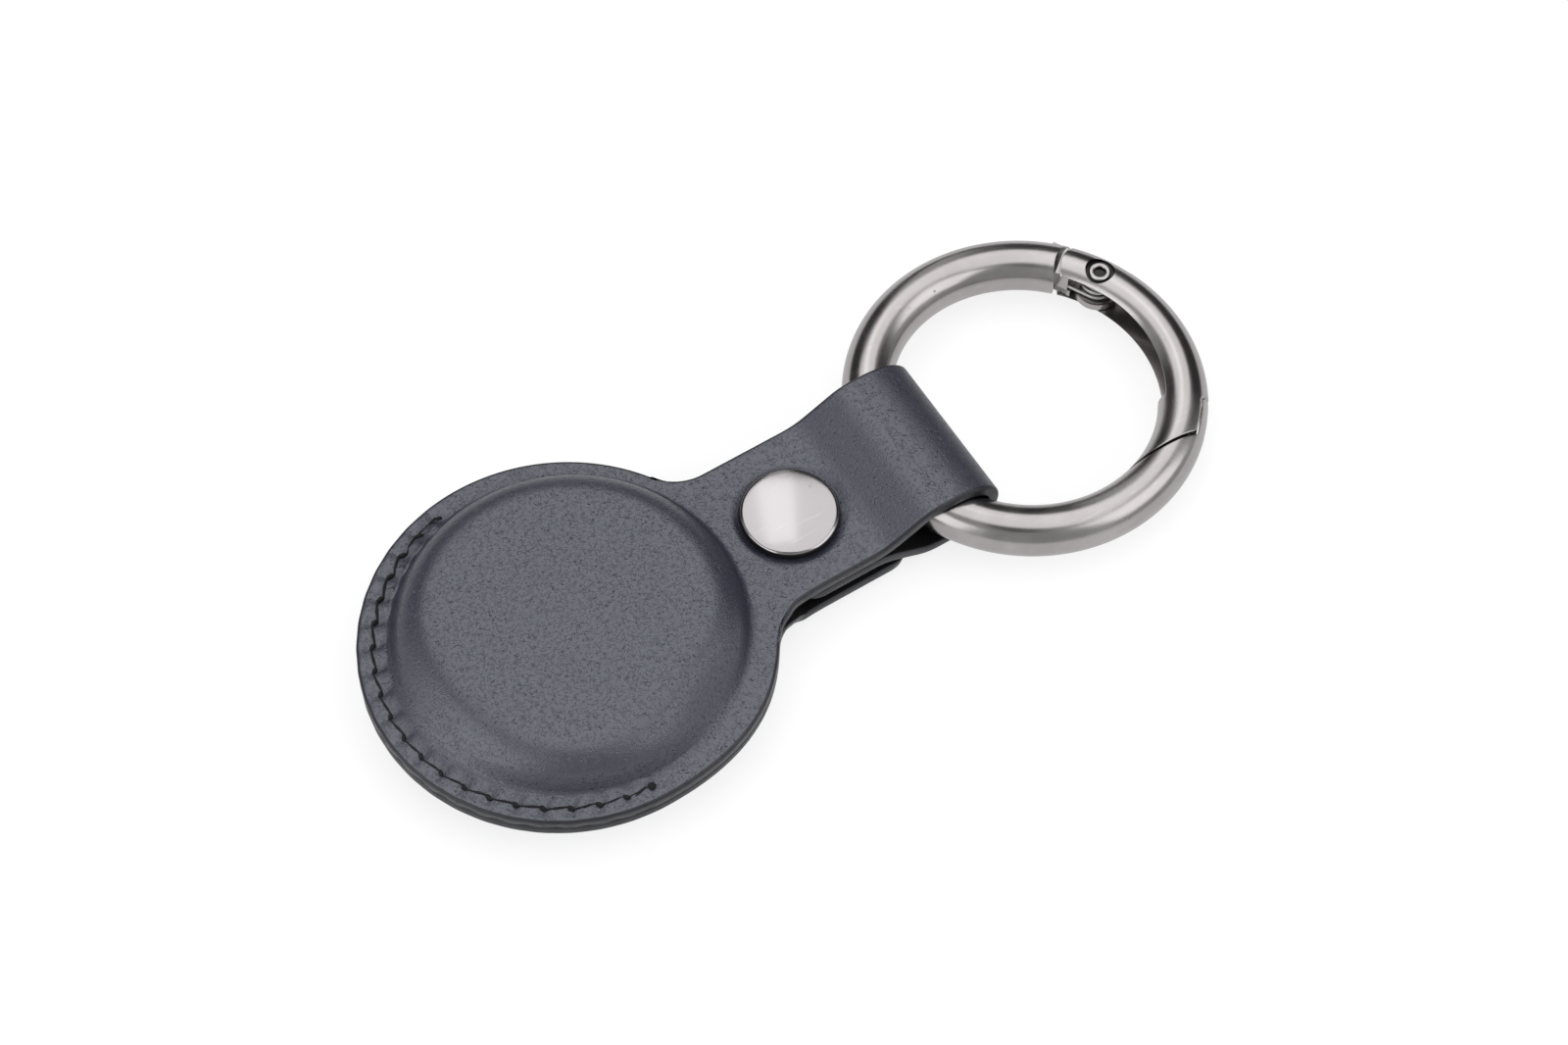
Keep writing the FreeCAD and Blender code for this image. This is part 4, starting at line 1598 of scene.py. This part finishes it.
    def knuckle(self) -> BMesh:
        """Eye and root of the body, inside the gate's fork.

        Returns:
            The knuckle, in the flat ring's place.
        """
        bm = bmesh.new()
        low = -self.knuckle_height
        eye_top = low + self.eye_thickness
        bore = self.pin_radius + self.pin_play
        lay_wire(bm, [(bore, low), (self.eye_radius, low), (self.eye_radius, eye_top), (bore, eye_top)],
                 closed=True)
        spin_round(bm, self.eye_spokes)
        bmesh.ops.recalc_face_normals(bm, faces=bm.faces[:])
        root_end = self.fork_length + self.fork_gap + self.bar / 2
        for near, top in ((self.eye_radius - self.lip_gap, eye_top), (self.eye_radius + self.lip_gap, -low)):
            size = Matrix.Diagonal((self.knuckle_in + self.knuckle_out, root_end - near, top - low, 1))
            spot = ((self.knuckle_out - self.knuckle_in) / 2, (near + root_end) / 2, (low + top) / 2)
            bmesh.ops.create_cube(bm, size=1, matrix=Matrix.Translation(spot) @ size)
        bmesh.ops.transform(bm, matrix=self.at_pin(), verts=bm.verts[:])
        return bm

    def body(self) -> Object:
        """Build the ring's body, with its knuckle and stop lip.

        Returns:
            The body, riding on the ring.
        """
        last = self.bar_sides - 1
        outline = self.bar_arc(0, TURN * last / self.bar_sides, last)
        hinge, free = self.hinge_end(self.fork_length + self.fork_gap), self.free_end(self.gate_gap)
        bm = self.stretch(outline, hinge, lambda out: free(out) + TURN, self.body_steps)
        self.close(bm)
        absorb(bm, self.stop_lip())
        absorb(bm, self.knuckle())
        bm.transform(self.laid())
        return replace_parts(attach(new_object(bm, "gunmetal_ring"), "ring"), "ring_body")

    def gate_sections(self) -> tuple[list[list[Pair]], list[Pair], list[Pair]]:
        """Sections of the gate.

        Returns:
            The two cheeks of the fork, the open channel and the solid free end.
        """
        lip = math.asin(self.channel_half / self.bar)
        floor = self.radius + self.floor_rise
        upper = self.bar_arc(lip, math.pi - lip, self.arc_sides)
        lower = self.bar_arc(math.pi + lip, TURN - lip, self.arc_sides)
        outer = self.bar_arc(-lip, lip, self.channel_sides)[1:-1]
        inner = self.bar_arc(math.pi - lip, math.pi + lip, self.channel_sides)[1:-1]
        walls = [(floor, self.channel_half), (floor, -self.channel_half)]
        cheeks = [upper + walls[:1], lower + walls[1:]]
        return cheeks, upper + walls + lower + outer, upper + inner + lower + outer

    def gate(self) -> Object:
        """Build the gate: a fork, a channel open to the ring's centre and a solid free end.

        Returns:
            The gate, riding on its own body, with the pin's seats in the second slot, near-black as painted
            shade.
        """
        cheeks, channel, solid = self.gate_sections()

        def web(out: float) -> float:
            """Angle where the fork turns into the channel."""
            return self.pin_angle - self.web_start

        def channel_end(out: float) -> float:
            """Angle where the channel turns into the solid end."""
            return self.channel_end

        bm = bmesh.new()
        for cheek in cheeks:
            absorb(bm, self.stretch(cheek, web, self.hinge_end(self.fork_length), self.fork_steps))
        absorb(bm, self.stretch(channel, channel_end, web, self.channel_steps))
        absorb(bm, self.stretch(solid, self.free_end(0), channel_end, self.end_steps))
        limit = self.radius + self.bar - self.lip_thickness - self.lip_gap
        for v in bm.verts:
            if v.co.y < self.lip_end(self.lip_gap) and v.co.xy.length > limit:
                v.co.xy = v.co.xy.normalized() * limit
        self.close(bm)
        gate = new_object(bm, "gunmetal_gate")
        self.seat_pin(gate)
        gate.data.transform(self.laid())
        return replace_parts(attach(gate, "gate"), "ring_gate")

    def seat_pin(self, gate: Object) -> None:
        """Sink a round seat for the pin's head in each cheek of the fork, its faces near-black as painted
        shade.

        Args:
            gate: The gate, before it is laid in the strap.
        """
        bm = bmesh.new()
        for way in (1, -1):
            spot = self.at_pin() @ Matrix.Translation((0, 0, way * (self.seat_level + self.bar / 2)))
            bmesh.ops.create_cone(bm, cap_ends=True, segments=self.seat_spokes, radius1=self.pin_seat,
                                  radius2=self.pin_seat, depth=self.bar, matrix=spot)
        # The cutter's faces become the seats' walls and floors, which take near-black metal as painted shade
        # in the counterbores
        for f in bm.faces:
            f.material_index = 1
        cutter = new_object(bm, "pin_seats")
        for piece in (gate, gate, cutter, cutter):
            piece.data.materials.append(None)
        cut = gate.modifiers.new("seat", "BOOLEAN")
        cut.operation = "DIFFERENCE"
        cut.object = cutter
        apply_modifiers(gate)
        shade_smooth(gate.data)
        bpy.data.objects.remove(cutter)

    def pin(self) -> Object:
        """Spin the hollow rivet that the gate turns on.

        Returns:
            The rivet, riding on the gate, with its bore in the second slot, near-black as painted shade.
        """
        bm = bmesh.new()
        top = self.seat_level + self.head_rise
        corners = [(self.pin_bore, -top), (self.pin_head, -top), (self.pin_head, -self.seat_level),
                   (self.pin_radius, -self.seat_level), (self.pin_radius, self.seat_level),
                   (self.pin_head, self.seat_level), (self.pin_head, top), (self.pin_bore, top)]
        verts = lay_wire(bm, corners, closed=True)
        for corner in verts[:2] + verts[-2:]:
            round_corner(bm, corner, self.head_rise / 2, self.head_steps)
        spin_round(bm, self.pin_spokes)
        bmesh.ops.recalc_face_normals(bm, faces=bm.faces[:])
        # The bore takes the near-black metal: painted shade inside the hole
        for f in bm.faces:
            f.material_index = int(f.calc_center_median().xy.length < self.pin_bore)
        bm.transform(self.laid() @ self.at_pin())
        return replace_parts(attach(new_object(bm, "gate_rivet"), "gate"), "gate_pin")

    def spring(self) -> Object:
        """Wind the torsion spring on the pin, one leg on the knuckle and one on the channel's floor.

        Returns:
            The spring.
        """
        low = self.eye_thickness - self.knuckle_height + self.wire_radius + self.lip_gap
        spots = [Vector((-self.coil_radius, self.coil_leg, low))]
        for i in range(self.coil_steps * self.coil_turns + 1):
            angle = math.pi + TURN * i / self.coil_steps
            height = low + self.coil_pitch * i / self.coil_steps
            out = Vector((math.cos(angle), math.sin(angle), 0))
            spots.append(out * self.coil_radius + UP * height)
        floor = self.radius + self.floor_rise - self.leg_lift
        leg = math.sqrt(floor ** 2 - (self.radius - self.coil_radius) ** 2)
        spots.append(spots[-1] - Vector((0, leg, 0)))
        ways = headings(spots)
        turns = [ways[0]] + [(a + b).normalized() for a, b in zip(ways, ways[1:])] + [ways[-1]]
        bm = bmesh.new()
        sweep(bm, self.wire_radius, self.wire_sides, [placement(*step) for step in zip(spots, turns)])
        bmesh.ops.recalc_face_normals(bm, faces=bm.faces[:])
        place = self.laid() @ self.at_pin()
        bm.transform(place)
        wire = new_object(bm, "torsion_spring")
        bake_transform(wire)
        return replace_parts(wire, "gate_spring")

    def dress(self, finishes: Finishes) -> None:
        """Build the ring's four pieces in order, and give them their metal.

        Args:
            finishes: The materials.
        """
        give_finish(self.body(), "ring_metal", finishes.gunmetal)
        # The gate's seats and the rivet's bore take the near-black metal as painted shade
        give_finish(self.gate(), "ring_metal", finishes.gunmetal, finishes.dark)
        give_finish(self.pin(), "ring_metal", finishes.gunmetal, finishes.dark)
        give_finish(self.spring(), "spring_wire", finishes.wire)


@dataclass(frozen=True)
class SoftBox:
    """A soft box that faces the holder, placed from the picture's right and from the floor."""

    name: str
    azimuth: float
    elevation: float
    distance: float
    size: Pair
    glow: float


@dataclass
class Studio:
    """Floor, lamps and camera. The picture's sizes are in pixels of the photograph."""

    picture: Pair = (1600.0, 1066.0)
    focal: float = 4000.0
    aim: Pair = (573.9, 650.1)
    elevation: float = math.radians(59.6)
    azimuth: float = math.radians(32.2)
    depth: float = 0.3986
    sensor_mm: float = 36.0
    clip: Pair = (0.01, 20.0)
    ambient: float = 0.4
    dim: float = 0.04
    dim_back: Pair = (0.15, 0.45)
    dim_high: Pair = (0.75, 0.6)
    camera_edge: Pair = (math.cos(math.radians(13)), math.cos(math.radians(6)))
    camera_share: float = 0.2
    floor_size: float = 3.0
    floor_gap: float = 0.00003
    floor_fade: Pair = (0.15, 0.5)
    floor_colour: Colour = (0.32, 0.32, 0.325, 1.0)
    floor_roughness: float = 0.9
    floor_glow: float = 0.78
    floor_mirrored: float = 0.7
    watts_for_white: float = 4.0
    boxes: tuple[SoftBox, ...] = (
        SoftBox("top", math.radians(90), math.radians(76), 0.6, (0.7, 0.76), 0.78),
        SoftBox("back", math.radians(95), math.radians(42), 0.9, (0.2, 1.1), 0.4),
        SoftBox("left", math.radians(-144), math.radians(24), 0.8, (0.8, 0.6), 1.05),
        SoftBox("right", math.radians(-14), math.radians(38), 0.8, (0.65, 0.5), 1.0),
    )

    def ground_axes(self) -> tuple[Vector, Vector]:
        """Directions on the floor that point right and away in the picture."""
        right = Vector((math.cos(self.azimuth), -math.sin(self.azimuth), 0))
        return right, UP.cross(right)

    def camera(self, target: Vector) -> None:
        """Stand the camera where the photograph was taken.

        Args:
            target: Point that shows at the aim, at the given depth.
        """
        right, away = self.ground_axes()
        forward = away * math.cos(self.elevation) - UP * math.sin(self.elevation)
        upward = away * math.sin(self.elevation) + UP * math.cos(self.elevation)
        x = (self.aim[0] - self.picture[0] / 2) / self.focal
        y = -(self.aim[1] - self.picture[1] / 2) / self.focal
        data = bpy.data.cameras.new("camera")
        data.sensor_width = self.sensor_mm
        data.lens = self.focal / self.picture[0] * data.sensor_width
        data.clip_start, data.clip_end = self.clip
        camera = in_scene("camera", data)
        turn = Matrix((right, upward, -forward)).transposed().to_4x4()
        spot = target - (forward + right * x + upward * y) * self.depth
        camera.matrix_world = Matrix.Translation(spot) @ turn
        bpy.context.scene.camera = camera

    def way(self, azimuth: float, elevation: float) -> Vector:
        """Direction from the holder, by its azimuth from the picture's right and its elevation.

        Args:
            azimuth: Angle from the picture's right.
            elevation: Angle above the floor.

        Returns:
            The direction, of length 1.
        """
        right, away = self.ground_axes()
        flat = right * math.cos(azimuth) + away * math.sin(azimuth)
        return flat * math.cos(elevation) + UP * math.sin(elevation)

    def hang(self, box: SoftBox) -> None:
        """Hang a soft box that faces the holder.

        Args:
            box: The soft box, white where its glow is 1.
        """
        data = bpy.data.lights.new(box.name, "AREA")
        data.shape = "RECTANGLE"
        data.size, data.size_y = box.size
        data.energy = self.watts_for_white * box.glow * data.size * data.size_y
        spot = self.way(box.azimuth, box.elevation) * box.distance
        in_scene(box.name, data).matrix_world = placement(spot, spot)

    def floor(self) -> None:
        """Lay a pale floor that keeps the shadow, glows white far off and is clear from below."""
        bm = bmesh.new()
        bmesh.ops.create_grid(bm, x_segments=1, y_segments=1, size=self.floor_size,
                              matrix=Matrix.Translation(UP * -self.floor_gap))
        floor = new_object(bm, "floor")
        material, graph, shader, spot = Finish("pale_floor", self.floor_colour, self.floor_roughness).start()
        seen, shown = self.rays(graph)
        strength = graph.math("MAXIMUM", seen, graph.times(shown, self.floor_mirrored))
        light = graph.fit(graph.vector("LENGTH", {0: spot})["Value"], *self.floor_fade, self.floor_glow, 1.0)
        graph.feed(shader, {"Specular IOR Level": 0.0, "Emission Color": WHITE,
                            "Emission Strength": graph.times(strength, light)})
        below = graph.add("ShaderNodeNewGeometry").outputs["Backfacing"]
        clear = graph.add("ShaderNodeBsdfTransparent").outputs[0]
        both = graph.add("ShaderNodeMixShader", {0: below, 1: shader.outputs[0], 2: clear}).outputs[0]
        graph.feed(material.node_tree.nodes["Material Output"], {"Surface": both})
        floor.data.materials.append(material)

    def rays(self, graph: Graph) -> tuple[NodeSocket, NodeSocket]:
        """Outputs that are 1 for rays from the camera, and for rays that metal or glass sends on.

        Args:
            graph: The tree that asks.

        Returns:
            The two outputs.
        """
        path = graph.add("ShaderNodeLightPath").outputs
        shown = graph.math("MAXIMUM", path["Is Glossy Ray"], path["Is Transmission Ray"])
        return path["Is Camera Ray"], shown

    def world(self) -> None:
        """White surroundings for the camera, ambient light with a dim horizon at the back for the rest."""
        world = bpy.data.worlds.new("studio")
        world.use_nodes = True
        bpy.context.scene.world = world
        graph = Graph(world.node_tree)
        way = graph.add("ShaderNodeTexCoord").outputs["Generated"]
        axes = (self.ground_axes()[1], UP, self.way(math.radians(-90), self.elevation))
        behind, over, near = (graph.vector("DOT_PRODUCT", {0: way, 1: axis})["Value"] for axis in axes)
        corner = graph.times(graph.fit(behind, *self.dim_back), graph.fit(over, *self.dim_high))
        plain = graph.times(graph.fit(corner, 0.0, 1.0, self.ambient, self.dim),
                            graph.fit(near, *self.camera_edge, 1.0, self.camera_share))
        seen = self.rays(graph)[0]
        graph.feed(world.node_tree.nodes["Background"],
                   {"Color": WHITE, "Strength": graph.math("MAXIMUM", seen, plain)})

    def build(self, target: Vector) -> None:
        """Set up the studio.

        Args:
            target: Point of the holder that the camera aims by.
        """
        self.camera(target)
        self.floor()
        self.world()
        for box in self.boxes:
            self.hang(box)
        bpy.context.scene.view_settings.view_transform = "Standard"


def main() -> None:
    """Build and dress the holder, then set up the studio."""
    logging.basicConfig(level=logging.INFO, format="%(message)s")
    layout = Layout.read()
    finishes = Finishes.make()
    seam = SeamPlan(layout.disc_radius - SEAM_INSET)
    dome_edge = layout.disc_radius - DOME_INSET
    for piece in (FrontLeather("front_leather", Side.FRONT, layout, seam,
                               layout.front_crest - layout.front_top, dome_edge),
                  BackLeather("back_leather", Side.BACK, layout, seam, layout.back_low, dome_edge),
                  Seam("needle_stitches", "needle_thread", seam, Side.FRONT, layout.front_top),
                  Seam("bobbin_stitches", "bobbin_thread", seam, Side.BACK, layout.back_low),
                  Snap(layout),
                  GateRing()):
        piece.dress(finishes)
    Studio().build(Vector((0, 0, layout.front_top)))


if __name__ == "__main__":
    main()
